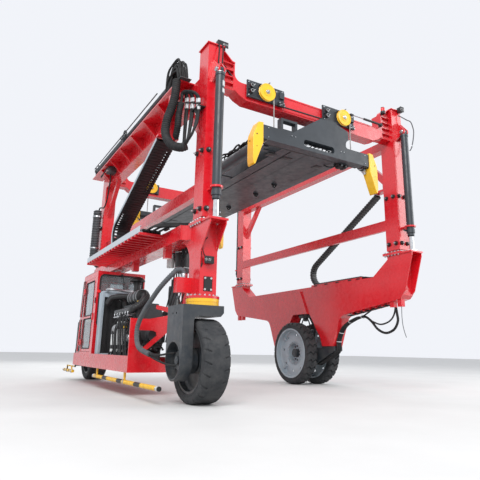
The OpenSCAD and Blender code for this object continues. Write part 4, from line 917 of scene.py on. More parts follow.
class CARRIER_OT_cab(bpy.types.Operator):
    """Cab seals, handles, wiper, lining, controls and roof fittings"""
    bl_idname = "carrier.cab"
    bl_label = "Cab fittings"

    def execute(self, context):
        rubber = bmesh.new()
        out, inner = -2.584, -1.616
        front = [(x, 0.748, z) for x, z in round_outline((-2.53, 1.1), (-1.66, 2.12), 0.08)]
        side = [(inner, y, z) for y, z in round_outline((0.84, 1.0), (1.81, 2.1), 0.06)]
        for loop in (front, side):
            hoop(rubber, loop, 0.014, 8, 0.7)
        lean = 0.2 / 1.81
        rear = [(x, 2.1 - (z - 0.38) * lean + 0.001, z)
                for x, z in round_outline((-2.49, 1.2), (-1.71, 2.1), 0.06)]
        hoop(rubber, rear, 0.014, 8, 0.7)
        for low, high in ((0.62, 1.27), (1.33, 2.08)):
            edges = [2.04 - (z - 0.36) * lean for z in (low, high)]
            pane = [(1.755, low), (edges[0], low), (edges[1], high), (1.755, high)]
            hoop(rubber, [(-2.601, y, z) for y, z in pane], 0.01, 6, 0.7)
        piece("cab_window_seals", rubber, "chassis", "hose", 60)
        bm = bmesh.new()
        for a, b in (((0.962, 1.33), (1.638, 2.015)), ((0.962, 0.685), (1.638, 1.27))):
            hoop(bm, [(out - 0.001, y, z) for y, z in round_outline(a, b, 0.04)], 0.011, 8, 0.7)
            hoop(bm, [(out + 0.035, y, z) for y, z in round_outline(a, b, 0.04)], 0.01, 8, 0.7)
        hoop(bm, [(out + 0.036, y, z) for y, z in round_outline((0.915, 0.635), (1.685, 2.065), 0.036)],
             0.006, 6, 1.0)
        piece("door_seals", bm, "door", "hose", 60)
        bm = bmesh.new()
        grip = [(out - 0.01, 0.933, 1.245), (out - 0.024, 0.933, 1.25), (out - 0.028, 0.934, 1.28),
                (out - 0.028, 0.934, 1.33), (out - 0.024, 0.933, 1.355), (out - 0.01, 0.933, 1.36)]
        tube(bm, grip, 0.008, 10, 4)
        drum(bm, (out - 0.008, 0.931, 1.2), X, 0.014, 0.01, 20)
        drum(bm, (out + 0.034, 0.933, 1.3), X, 0.012, 0.045, 14)
        rail = [(out + 0.034, 1.02, 1.3), (out + 0.07, 1.02, 1.3), (out + 0.08, 1.1, 1.3),
                (out + 0.08, 1.45, 1.3), (out + 0.07, 1.58, 1.3), (out + 0.034, 1.58, 1.3)]
        tube(bm, rail, 0.01, 10, 4)
        piece("door_handle", bm, "door", "black")
        bm = bmesh.new()
        # wiper on the front pane
        turned(bm, (-2.1, 0.748, 2.135), -Y, [(0, 0.03), (0.02, 0.028), (0.026, 0)], 20)
        tube(bm, [(-2.1, 0.728, 2.135), (-2.06, 0.722, 1.98), (-1.98, 0.724, 1.76), (-1.95, 0.73, 1.66)],
             0.007, 8, 4)
        tube(bm, [(-1.99, 0.738, 1.9), (-1.95, 0.735, 1.66), (-1.915, 0.738, 1.42)], 0.008, 8, 4)
        # mirror arm and latch on the outer post
        block(bm, (-2.6, 0.762, 1.55), (-2.584, 0.8, 1.66), 0.005)
        # roof hatch and rain rail
        block(bm, (-2.25, 1.1, 2.19), (-1.85, 1.5, 2.204), 0.006)
        tube(bm, [(-2.55, 0.8, 2.195), (-2.57, 1.0, 2.196), (-2.57, 1.8, 2.196), (-2.55, 1.87, 2.195)],
             0.009, 8, 3)
        # controls
        hub = Vector((-2.12, 1.005, 1.07))
        turned(bm, hub, (0, 0.45, 0.89),
               [(0.15, 0), (0.16, 0.01), (0.168, 0), (0.16, -0.01), (0.15, 0)], 40)
        tube(bm, [(-2.12, 0.9, 0.9), (-2.12, 0.95, 0.98), hub], 0.02, 12, 4)
        for t in (0.3, 2.4, 4.5):
            spoke = Matrix.Rotation(t, 3, Vector((0, 0.45, 0.89))) @ X
            tube(bm, [hub, hub + spoke * 0.155], 0.009, 8, 2)
        for x in (-2.42, -1.82):
            block(bm, (x - 0.07, 1.2, 0.82), (x + 0.07, 1.62, 0.9), 0.012)
            tube(bm, [(x, 1.27, 0.9), (x, 1.265, 0.98), (x + 0.004, 1.26, 1.04)], 0.01, 8, 4)
            turned(bm, (x + 0.004, 1.26, 1.03), Z,
                   [(0, 0), (0.018, 0.004), (0.024, 0.03), (0.02, 0.06), (0, 0.07)], 16)
            block(bm, (x - 0.05, 1.28, 0.42), (x + 0.05, 1.54, 0.82), 0.01)
        block(bm, (-2.4, 0.835, 1.02), (-2.22, 0.86, 1.14), 0.008)
        tube(bm, [(-2.31, 0.86, 0.95), (-2.31, 0.855, 1.05)], 0.012, 10, 2)
        for x in (-2.22, -2.06):
            turn = Matrix.Rotation(radians(-35), 3, "X")
            tilted_block(bm, Vector((x, 0.99, 0.5)), (0.08, 0.15, 0.012), turn, 0.003)
        piece("cab_black_parts", bm, "chassis", "black")
        bm = bmesh.new()
        for y0, y1, z0, z1 in ((0.79, 0.84, 0.43, 2.14), (1.82, 1.9, 0.43, 1.95)):
            block(bm, (inner - 0.045, y0, z0), (inner - 0.04, y1, z1), 0.001)
        block(bm, (-2.53, 0.8, 2.128), (-1.67, 1.86, 2.142), 0.006)
        block(bm, (-2.53, 0.8, 0.421), (-1.67, 1.98, 0.428), 0.002)
        piece("cab_lining", bm, "chassis", "guard")
        bm = bmesh.new()
        turned(bm, (-2.545, 0.735, 1.78), -Y, [(0.034, -0.016), (0.034, 0), (0.028, 0.012), (0, 0.016)], 24)
        piece("cab_marker_lamp", bm, "chassis", "beacon")
        return {"FINISHED"}


class CARRIER_OT_seat(bpy.types.Operator):
    """Driver's seat with its cushions"""
    bl_idname = "carrier.seat"
    bl_label = "Driver's seat"

    def execute(self, context):
        base = bmesh.new()
        block(base, (-2.29, 1.23, 0.421), (-1.95, 1.57, 0.44), 0.006)
        for k in range(7):
            grow = 0.0 if k % 2 else 0.012
            block(base, (-2.265 - grow, 1.255 - grow, 0.44 + 0.03 * k),
                  (-1.975 + grow, 1.545 + grow, 0.47 + 0.03 * k), 0.008)
        block(base, (-2.32, 1.2, 0.65), (-1.92, 1.6, 0.69), 0.01)
        stand = piece("seat_suspension", base, "chassis", "black")
        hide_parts("driver_seat")
        parts = (("seat_cushion", (-2.12, 1.39, 0.745), (0.47, 0.46, 0.12), 0),
                 ("seat_back", (-2.12, 1.69, 1.06), (0.44, 0.115, 0.6), 4.0),
                 ("seat_headrest", (-2.12, 1.715, 1.4), (0.27, 0.09, 0.13), 4.0))
        for name, at, size, tip in parts:
            bm = bmesh.new()
            block(bm, (-0.5, -0.5, -0.5), (0.5, 0.5, 0.5))
            bmesh.ops.subdivide_edges(bm, edges=bm.edges[:], cuts=11, use_grid_fill=True)
            turn = Matrix.Rotation(radians(tip), 3, "X")
            for v in bm.verts:
                u = v.co * 2
                thin = min(range(3), key=lambda k: size[k])
                wide = [k for k in range(3) if k != thin]
                flat = (1 - abs(u[wide[0]]) ** 4) * (1 - abs(u[wide[1]]) ** 4)
                grow = 0.55 + 0.45 * flat
                channel = 0.06 * exp(-((abs(u[wide[0]]) - 0.55) / 0.05) ** 2) * (1 - abs(u[wide[1]]) ** 6)
                local = Vector(u)
                local[thin] *= grow - channel
                for k, other in ((wide[0], wide[1]), (wide[1], wide[0])):
                    local[k] *= 1 - 0.05 * abs(u[other]) ** 3
                v.co = Vector(at) + turn @ Vector([local[k] * size[k] / 2 for k in range(3)])
            obj = piece(name, bm, "chassis", "cloth", 80)
            modifier = obj.modifiers.new("smooth", "SUBSURF")
            modifier.levels = 1
            modifier.render_levels = 1
            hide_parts("driver_seat")
        bm = bmesh.new()
        for x in (-2.16, -2.08):
            drum(bm, (x, 1.708, 1.3), Z, 0.007, 0.09, 10)
        lever = [(-2.37, 1.66, 0.8), (-2.385, 1.6, 0.9), (-2.375, 1.52, 0.92), (-2.37, 1.4, 0.925)]
        tube(bm, lever, 0.012, 8, 4)
        piece("seat_fittings", bm, "chassis", "black")
        return {"FINISHED"}


class CARRIER_OT_bump_bars(bpy.types.Operator):
    """White ends, pins and clamps of the bump bars"""
    bl_idname = "carrier.bump_bars"
    bl_label = "Bump bar ends"

    def execute(self, context):
        bm, pins = bmesh.new(), bmesh.new()
        bar = Vector((-2.55, 0, 0.2))
        tip = [(0.0325, 0), (0.0335, 0.002), (0.0335, 0.075), (0.028, 0.09), (0.018, 0.099), (0, 0.1)]
        clamp = [(0.033, 0), (0.038, 0.001), (0.038, 0.039), (0.033, 0.04)]
        for low, high in ((-2.83, 0.54), (2.35, 3.33)):
            for y, out in ((low, -Y), (high, Y)):
                end = bar + Y * y
                turned(bm, end - out * 0.1, out, tip, 28)
                drum(pins, end - out * 0.06 - X * 0.045, X, 0.006, 0.09, 10)
        piece("bump_bar_ends", bm, "chassis", "white")
        for y in (-1.35, 0.3, 2.5, 2.96):
            turned(pins, bar + Y * (y - 0.02), Y, clamp, 28)
            bolt(pins, bar + Vector((0, y, 0.04)), Z, 0.008, 0.01)
        piece("bump_bar_clamps", pins, "chassis", "steel")
        return {"FINISHED"}


class CARRIER_OT_hub_hose(bpy.types.Operator):
    """Corrugated guard and pressure hoses from the side tank to the front wheel's hub"""
    bl_idname = "carrier.hub_hose"
    bl_label = "Hub hoses"

    def execute(self, context):
        bm = bmesh.new()
        route = [(-2.215, -2.66, 1.725), (-2.217, -2.657, 1.762), (-2.24, -2.64, 1.795),
                 (-2.3, -2.595, 1.785), (-2.36, -2.549, 1.714), (-2.42, -2.404, 1.6), (-2.46, -2.246, 1.481),
                 (-2.5, -1.913, 1.242), (-2.52, -1.724, 1.043), (-2.53, -1.735, 0.853),
                 (-2.53, -1.887, 0.706), (-2.5, -2.253, 0.622)]
        tube(bm, route, 0.031, 16, 26, ribs=(0.04, 0.007))
        guard = piece("hub_hose_guard", bm, "chassis", "guard", 60)
        bm = bmesh.new()
        tube(bm, [(-2.515, -2.06, 0.66), (-2.5, -2.26, 0.628), (-2.478, -2.43, 0.615), (-2.45, -2.6, 0.622),
                  (-2.41, -2.72, 0.64), (-2.34, -2.78, 0.65)], 0.014, 10, 8)
        tube(bm, [(-2.515, -2.07, 0.65), (-2.5, -2.26, 0.6), (-2.475, -2.45, 0.555), (-2.44, -2.64, 0.515),
                  (-2.4, -2.78, 0.495), (-2.34, -2.83, 0.49)], 0.014, 10, 8)
        lines = piece("hub_pressure_hoses", bm, None, "hose", 60)
        for obj in (guard, lines):
            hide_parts("hub_hoses")
        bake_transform(lines)
        bm = bmesh.new()
        turned(bm, (-2.215, -2.66, 1.674), Z,
               [(0, 0), (0.048, 0.001), (0.048, 0.018), (0.04, 0.02), (0.04, 0.052), (0.034, 0.066)], 20)
        piece("tank_hose_socket", bm, "chassis", "zinc")
        return {"FINISHED"}


class CARRIER_OT_columns(bpy.types.Operator):
    """Guide pad adjusters, cylinder heads, glands and the pipes on the columns"""
    bl_idname = "carrier.columns"
    bl_label = "Column fittings"

    def execute(self, context):
        pads, nuts, glands, seals, pins = (bmesh.new() for _ in range(5))
        gland = [(0.046, 0), (0.06, 0.002), (0.06, 0.052), (0.074, 0.055), (0.074, 0.125), (0.0685, 0.128)]
        head = [(0.0685, 0), (0.076, 0.003), (0.076, 0.045), (0.05, 0.048)]
        wiper = [(0.0425, 0), (0.052, 0.001), (0.054, 0.01), (0.05, 0.014), (0.0425, 0.014)]
        pin = [(0, 0.026), (0.034, 0.026), (0.04, 0.02), (0.04, 0)]
        for sx, sy in corners():
            cx, cy = sx * GAUGE, sy * BASE
            for z in (2.65, 3.55):
                for t in (-0.07, 0.07):
                    self.adjuster(pads, nuts, Vector((cx + t, sy * COLUMN_FRONT, z)), Y * sy)
                for side in (-1, 1):
                    for t in (-0.085, 0.085):
                        self.adjuster(pads, nuts, Vector((cx + side * COLUMN_W / 2, cy + t, z)), X * side)
            foot = Vector((cx, sy * ROD_Y, 0))
            turned(glands, foot + Z * 2.755, Z, gland, 40)
            turned(glands, foot + Z * 4.7, Z, head, 40)
            turned(seals, foot + Z * 2.742, Z, wiper, 32)
            for side in (-1, 1):
                turned(pins, foot + Vector((side * 0.057, 0, 4.8)), X * side, pin, 24)
            drum(glands, foot + Vector((0, -sy * 0.05, 2.86)), X * -sx, 0.018, 0.1, 12)
        piece("guide_adjusters", pads, "lift_frame", "black")
        piece("guide_adjuster_nuts", nuts, "lift_frame", "zinc")
        piece("cylinder_glands", glands, "lift_frame", "grey")
        piece("cylinder_wipers", seals, "lift_frame", "black")
        piece("cylinder_pin_caps", pins, "lift_frame", "steel")
        return {"FINISHED"}

    @staticmethod
    def adjuster(pads, nuts, at, out):
        turned(pads, at, out, [(0.04, 0), (0.04, 0.01), (0.033, 0.012), (0.033, 0.036), (0.022, 0.04),
                               (0, 0.04)], 20)
        drum(nuts, at + out * 0.039, out, 0.017, 0.014, 6)
        drum(nuts, at + out * 0.052, out, 0.009, 0.016, 12)


class CARRIER_OT_column_hoses(bpy.types.Operator):
    """Looped pressure hoses beside the front left column"""
    bl_idname = "carrier.column_hoses"
    bl_label = "Column hoses"

    def execute(self, context):
        r = context.scene.carrier_sizes.hose_d / 2
        bm = bmesh.new()
        outer = [(-2.4, -2.43, 4.865), (-2.415, -2.43, 4.6), (-2.455, -2.42, 4.37), (-2.51, -2.405, 4.17),
                 (-2.53, -2.41, 3.93), (-2.487, -2.55, 3.7), (-2.395, -2.7, 3.61), (-2.33, -2.78, 3.622)]
        inner = [(-2.3, -2.41, 4.5), (-2.33, -2.42, 4.3), (-2.33, -2.405, 4.12), (-2.325, -2.345, 3.99),
                 (-2.315, -2.28, 3.932)]
        tube(bm, outer, 0.06, 18, 26, ribs=(0.036, 0.008))
        tube(bm, inner, 0.048, 16, 24, ribs=(0.032, 0.007))
        sleeve = piece("column_hose_sleeves", bm, "lift_frame", "hose", 60)
        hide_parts("column_hoses")
        bm, labels, strap = bmesh.new(), bmesh.new(), bmesh.new()
        ends = [(-2.38, 4.53), (-2.49, 4.48), (-2.6, 4.43), (-2.71, 4.38), (-2.82, 4.32), (-2.92, 4.27)]
        for k, (y, z) in enumerate(ends):
            side = -0.02 * (k % 2)
            low = y * 0.55 - 1.28
            route = [(-2.345, -2.765, 3.6 + 0.01 * k), (-2.31, low - 0.02, 3.65 + 0.02 * k),
                     (-2.25 + side, (low + y) / 2, 3.86), (-2.205 + side, y, z - 0.26), (-2.195 + side, y, z),
                     (-2.205 + side, y + 0.02, z + 0.15), (-2.23 + side, y * 0.6 - 0.98, z * 0.5 + 2.43),
                     (-2.275, -2.405, 4.66 + 0.01 * k), (-2.295, -2.41, 4.53), (-2.3, -2.41, 4.45)]
            tube(bm, route, r * 1.15, 10, 6)
            for u, h in ((-0.085, 0.075), (0.03, 0.065)):
                drum(labels, (-2.196 + side, y, z + u), Z, r * 1.45, h, 12)
                drum(strap, (-2.196 + side, y, z + u - 0.018), Z, r * 1.65, 0.018, 6)
        band = [(-2.235, y, z + 0.005) for y, z in [(-2.33, 4.55), *ends, (-2.98, 4.24)]]
        tube(strap, band, 0.009, 8, 3)
        block(strap, (-2.24, -2.955, 4.236), (-2.12, -2.7, 4.25), 0.003)
        piece("column_pressure_hoses", bm, "lift_frame", "hose", 60)
        piece("column_hose_labels", labels, "lift_frame", "label")
        piece("column_hose_clamps", strap, "lift_frame", "black")
        return {"FINISHED"}


class CARRIER_OT_hose_guard(bpy.types.Operator):
    """Spiral guard round the hoses by the rear left column"""
    bl_idname = "carrier.hose_guard"
    bl_label = "Hose guard"

    def execute(self, context):
        x, y, low, high = -2.236, 2.83, 2.7, 3.99
        bm = bmesh.new()
        outline = [(0, 0), (0.07, 0.002), (0.076, 0.03), (0.076, high - low - 0.03),
                   (0.07, high - low - 0.002), (0, high - low)]
        turned(bm, (x, y, low), Z, outline, 24)
        for u in (-0.03, 0, 0.03):
            tube(bm, [(x + u, y, low + 0.01), (x + u + 0.01, y, low - 0.05), (x + 0.07, y + u, low - 0.1),
                      (-2.118, y + u, low - 0.11)], 0.013, 8, 5)
        core = piece("hose_guard_core", bm, "lift_frame", "black", 60)
        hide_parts("hose_guard")
        bm = bmesh.new()
        turns, steps = 30, 18
        coil = [Vector((x, y, low + 0.012)) + spot for spot in circle(steps, 0.088, X, Y)]
        pitch = (high - low - 0.024) / (turns * steps)
        coil = [coil[k % steps] + Z * pitch * k for k in range(turns * steps + 1)]
        tube(bm, coil, 0.0135, 6, 1)
        piece("hose_guard_spiral", bm, "lift_frame", "guard", 60)
        bm = bmesh.new()
        for z in (3.03, 3.82):
            block(bm, (-2.19, y - 0.03, z), (-2.118, y + 0.03, z + 0.012), 0.003)
            turned(bm, (x, y, z - 0.008), Z, [(0.1, 0), (0.107, 0), (0.107, 0.03), (0.1, 0.03)], 32)
        piece("hose_guard_brackets", bm, "lift_frame", "zinc")
        return {"FINISHED"}


class CARRIER_OT_guides(bpy.types.Operator):
    """Folded corner guides of the spreader: upright outer plate, slanting inner one and webs"""
    bl_idname = "carrier.guides"
    bl_label = "Corner guides"

    def execute(self, context):
        bm, dark = bmesh.new(), bmesh.new()
        outline = [(1.142, 4.214), (1.232, 4.204), (1.322, 3.98), (1.33, 3.9), (1.33, 3.57),
                   (1.318, 3.488), (1.3, 3.472), (1.282, 3.486), (1.142, 3.866)]
        for sx, sy in corners():
            prism(bm, outline, (0, sy * 2.872, 0), X * sx, Z, Y * sy, 0.18)
            # flat black discs on the web and side plate are painted shade where the holes are
            for x, z, r in ((1.262, 3.985, 0.013), (1.262, 3.78, 0.009)):
                drum(dark, (sx * x, sy * 3.0515, z), Y * sy, r, 0.002, 16)
            drum(dark, (sx * 1.3295, sy * 2.945, 3.88), X * sx, 0.013, 0.002, 16)
            # foot that holds the guide under the end beam
            block(dark, (sx * 1.06, sy * 2.9, 3.925), (sx * 1.145, sy * 3.02, 3.95), 0.004)
        box = piece("corner_guide_plates", bm, "spreader", "yellow", 30)
        edge = box.modifiers.new("edge", "BEVEL")
        edge.width = 0.007
        edge.segments = 2
        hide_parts("corner_guides")
        # black discs of painted shade in the holes, with the feet
        piece("corner_guide_hole_shade_and_feet", dark, "spreader", "black")
        return {"FINISHED"}


def chain(bm, path, x0, width, thick, holes, plate=0.022):
    """Links of a chain: side plates and cross bars, with windows where holes(part) names them."""
    for i, (a, b) in enumerate(zip(path, path[1:])):
        run = b - a
        mid = (a + b) / 2
        along = run.normalized()
        normal = X.cross(along)
        turn = Matrix((X, along, normal)).transposed()
        length = run.length
        for x in (x0 + plate / 2, x0 + width - plate / 2):
            centre = Vector((x, mid.y, mid.z))
            tilted_block(bm, centre, (plate, length * 1.12, thick * 0.86), turn, 0.004)
            tilted_block(bm, centre, (plate * 1.35, length * 0.46, thick), turn, 0.004)
        spans = [x0 + plate / 2, *(x for hole in holes(i / len(path)) for x in hole), x0 + width - plate / 2]
        for k, (low, high) in enumerate(zip(spans, spans[1:])):
            share, edge = (0.38, 0) if k % 2 else (0.9, 0.003)
            for level in (-1, 1):
                centre = Vector(((low + high) / 2, mid.y, mid.z)) + normal * level * (thick / 2 - 0.007)
                tilted_block(bm, centre, (high - low, length * share, 0.012), turn, edge)


def chain_line(start_y, turn_y, z, radius, end, pitch):
    """Centre line of a chain: trough run, bend and slanting run, as in the solid model."""
    c = Vector((0, turn_y, z + radius))
    f = Vector((0, end[0] - c.y, end[1] - c.z))
    turn = atan2(f.z, f.y) + asin(radius / f.length)
    s = c + radius * Vector((0, sin(turn), -cos(turn)))
    e = Vector((0, end[0], end[1]))
    flat = max(1, round((turn_y - start_y) / pitch))
    bend = max(2, round(radius * turn / pitch))
    rise = max(1, round((e - s).length / pitch))
    line = [Vector((0, start_y + (turn_y - start_y) * i / flat, z)) for i in range(flat + 1)]
    angles = [turn * i / bend for i in range(1, bend + 1)]
    line += [c + radius * Vector((0, sin(a), -cos(a))) for a in angles]
    line += [s.lerp(e, i / rise) for i in range(1, rise + 1)]
    return line


class CARRIER_OT_chains(bpy.types.Operator):
    """Open links of the two energy chains and the hoses inside them"""
    bl_idname = "carrier.chains"
    bl_label = "Energy chains"

    def execute(self, context):
        left = chain_line(-1.85, -0.37, 2.4753, 0.25, (-2.25, 3.8647), 0.062)
        right = chain_line(-1.9, -0.56, 2.1363, 0.25, (-2.4, 3.7147), 0.062)
        rows = (("energy_chain_left", "chain_left", left, -2.605, 0.31, self.left_holes),
                ("energy_chain_right", "chain_right", right, 1.93, 0.13, self.right_holes))
        for name, node, line, x0, width, holes in rows:
            bm = bmesh.new()
            chain(bm, line, x0, width, 0.07, holes)
            obj = piece(name, bm, None, "black")
            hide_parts(node)
            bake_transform(obj)
            bm = bmesh.new()
            count = 5 if width > 0.2 else 2
            for i in range(count):
                x = x0 + 0.5 * width + (i - (count - 1) / 2) * 0.028
                tube(bm, [Vector((x, p.y, p.z)) for p in line[::3] + [line[-1]]], 0.014, 8, 3)
            obj = piece(name + "_hoses", bm, None, "hose", 60)
            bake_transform(obj)
        bm = bmesh.new()
        band = [Vector((-2.612, p.y, p.z)) for p in left]
        strip(bm, band, X, 0.006, 0.052)
        obj = piece("energy_chain_edge_band", bm, None, "rim")
        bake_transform(obj)
        return {"FINISHED"}

    @staticmethod
    def left_holes(part):
        if 0.36 < part < 0.56:
            return ((-2.572, -2.52),)
        if 0.7 < part < 0.93:
            return ((-2.405, -2.385), (-2.365, -2.335)) if part < 0.86 else ((-2.375, -2.335),)
        return ()

    @staticmethod
    def right_holes(part):
        return ((1.952, 1.975),) if 0.4 < part < 0.6 else ()


def strip(bm, path, across, thick, height):
    """A flat strip that follows a path; height is measured square to it."""
    section = ((-thick, -height), (thick, -height), (thick, height), (-thick, height))
    rings = []
    for i, p in enumerate(path):
        t = (path[min(i + 1, len(path) - 1)] - path[max(i - 1, 0)]).normalized()
        up = across.cross(t)
        rings.append([bm.verts.new(p + across * (u / 2) + up * (v / 2)) for u, v in section])
    skin(bm, rings)
    bm.faces.new(rings[0])
    bm.faces.new(reversed(rings[-1]))


class CARRIER_OT_lamps(bpy.types.Operator):
    """Work lamps, flashing light and their leads"""
    bl_idname = "carrier.lamps"
    bl_label = "Lamps"

    def execute(self, context):
        turn = Matrix.Identity(3)
        rows = (("lift_frame", "mast_lamp", ((-1.84, -3.005, 5.381), (2.055, -3.095, 5.335))),
                ("chassis", "post_lamp", ((-2.04, -3.065, 1.9),)))
        for body, name, places in rows:
            bm, lens = bmesh.new(), bmesh.new()
            for at in map(Vector, places):
                tilted_block(bm, at + Y * 0.004, (0.104, 0.012, 0.104), turn, 0.005)
                for u in (-0.026, 0.026):
                    turned(lens, at + X * u - Y * 0.001, -Y,
                           [(0, 0.008), (0.012, 0.007), (0.021, 0.003), (0.023, 0)], 20)
                for k in range(5):
                    tilted_block(bm, at + Vector((0, 0.092, -0.036 + 0.018 * k)), (0.09, 0.02, 0.004), turn)
            piece(name + "_bezels", bm, body, "black")
            piece(name + "_lenses", lens, body, "lens")
        bm = bmesh.new()
        at = Vector((1.632, -BEAM_FACE - 0.055, 5.218))
        turned(bm, at, Z, [(0.037, 0), (0.0385, 0.01), (0.038, 0.06), (0.03, 0.078), (0.012, 0.086),
                           (0, 0.087)], 28)
        piece("flashing_light_dome", bm, "lift_frame", "beacon", 60)
        bm = bmesh.new()
        turned(bm, at - Z * 0.043, Z, [(0, 0), (0.047, 0.001), (0.047, 0.03), (0.04, 0.043)], 28)
        piece("flashing_light_base", bm, "lift_frame", "black")
        bm = bmesh.new()
        tube(bm, [(-2.04, -2.99, 1.95), (-2.075, -3.0, 1.99), (-2.095, -2.998, 2.07), (-2.07, -2.994, 2.17),
                  (-2.02, -2.99, 2.23)], 0.006, 8, 8)
        tube(bm, [(-2.085, -2.99, 1.86), (-2.11, -2.998, 1.8), (-2.1, -2.996, 1.9), (-2.112, -2.993, 2.02)],
             0.005, 8, 8)
        piece("post_lamp_lead", bm, "chassis", "hose", 60)
        return {"FINISHED"}


class CARRIER_OT_girder(bpy.types.Operator):
    """Hoses, ties and clips under the right girder, and the hoses above the twin wheels' axle"""
    bl_idname = "carrier.girder"
    bl_label = "Girder hoses"

    def execute(self, context):
        hoses, ties, clips, cast = (bmesh.new() for _ in range(4))
        x = GAUGE
        leg = [(-0.5, 0.435), (-0.8, 0.545), (-1.04, 0.655), (-1.125, 0.74), (-1.142, 0.931), (-1.24, 1.107),
               (-1.356, 1.221), (-1.533, 1.303), (-1.746, 1.366), (-1.888, 1.373)]
        thick = leg + [(-2.041, 1.282), (-2.202, 1.125), (-2.4, 1.053), (-2.6, 1.114), (-2.698, 1.255),
                       (-2.691, 1.387), (-2.655, 1.603)]
        thin = leg + [(-1.99, 1.34), (-2.098, 1.28), (-2.32, 1.211), (-2.541, 1.262), (-2.665, 1.389),
                      (-2.72, 1.61)]
        tube(hoses, [(x + 0.025, y, z) for y, z in thick], 0.023, 14, 6)
        tube(hoses, [(x - 0.02, y, z) for y, z in thin], 0.015, 12, 6)
        tube(hoses, [(x - 0.055, y + 0.01, z) for y, z in leg + [(-2.05, 1.44), (-2.2, 1.512)]], 0.015, 12, 6)
        spots = (((-1.136, 0.9), (-0.08, 1.0)), ((-1.222, 1.08), (-0.45, 0.85)),
                 ((-1.5, 1.292), (-0.93, 0.36)), ((-1.86, 1.374), (-1.0, 0.05)))
        for (y, z), (dy, dz) in spots:
            along = Vector((0, dy, dz)).normalized()
            lift = along.cross(X)
            at = Vector((x - 0.01, y, z))
            hoop(ties, shifted(circle(24, 1.0, X * 0.062, lift * 0.029), at), 0.004, 6, 2.0)
            turn = Matrix((X, along, lift)).transposed()
            tilted_block(ties, at + lift * 0.04 - X * 0.03, (0.006, 0.004, 0.05), turn)
        # clips along the girder's underside
        for k in range(7):
            y = -1.62 - 0.16 * k
            z = 1.45 - (y + 1.56) * 0.1344
            block(clips, (x - 0.075, y - 0.022, z - 0.03), (x + 0.075, y + 0.022, z + 0.002), 0.004)
            bolt(clips, (x, y, z - 0.03), -Z, 0.007, 0.008, False)
        for u in (-0.045, 0, 0.045):
            line = [(x + u, -1.46 - 0.19 * k, 1.412 + 0.19 * k * 0.1344) for k in range(7)]
            tube(hoses, line, 0.01, 8, 3)
        # lines from the girder down to the axle
        block(cast, (x - 0.085, -0.16, 1.435), (x + 0.085, 0.14, 1.511), 0.008)
        turned(cast, (x, -0.01, 1.436), -Z,
               [(0.06, -0.002), (0.06, 0.03), (0.048, 0.036), (0.048, 0.07), (0.03, 0.076), (0, 0.077)], 28)
        for u, v in ((-0.05, -0.12), (0, -0.14), (0.05, -0.12), (-0.05, 0.1), (0.04, 0.11)):
            tube(hoses, [(x + u, v, 1.44), (x + u, v * 1.6, 1.34), (x + u * 1.3, v * 2.2, 1.18),
                         (x + u * 1.2, v * 1.9, 1.0), (x + u, v, 0.862)], 0.014, 10, 6)
        # ends of the lines at the trough, and its slots
        for k in range(4):
            u = -0.045 + 0.03 * k
            tube(hoses, [(x + u, -1.9, 2.135), (x + u, -1.99, 2.14), (x + u * 0.9, -2.08, 2.122),
                         (x + u * 0.8, -2.18, 2.112), (x + u * 0.7, -2.28, 2.108)], 0.012, 8, 6)
        for y in (-0.5, -0.86, -1.22, -1.6, -1.84):
            block(hoses, (x - 0.092, y - 0.05, 2.102), (x - 0.088, y + 0.05, 2.128), 0.001)
            block(clips, (x - 0.115, y + 0.06, 2.094), (x - 0.088, y + 0.13, 2.108), 0.003)
        piece("girder_hoses", hoses, "chassis", "hose", 60)
        piece("girder_hose_ties", ties, "chassis", "label")
        piece("girder_hose_clips", clips, "chassis", "red")
        piece("axle_line_fittings", cast, "chassis", "cast")
        bm = bmesh.new()
        tube(bm, [(x - 0.09, -2.905, 1.632), (x - 0.092, -2.91, 1.5), (x - 0.088, -2.9, 1.3),
                  (x - 0.1, -2.93, 1.12), (x - 0.11, -2.99, 0.96)], 0.006, 8, 6)
        bolt(bm, (x - 0.09, -2.905, 1.64), -Z, 0.01, 0.012)
        piece("earthing_strap", bm, "chassis", "guard", 60)
        return {"FINISHED"}


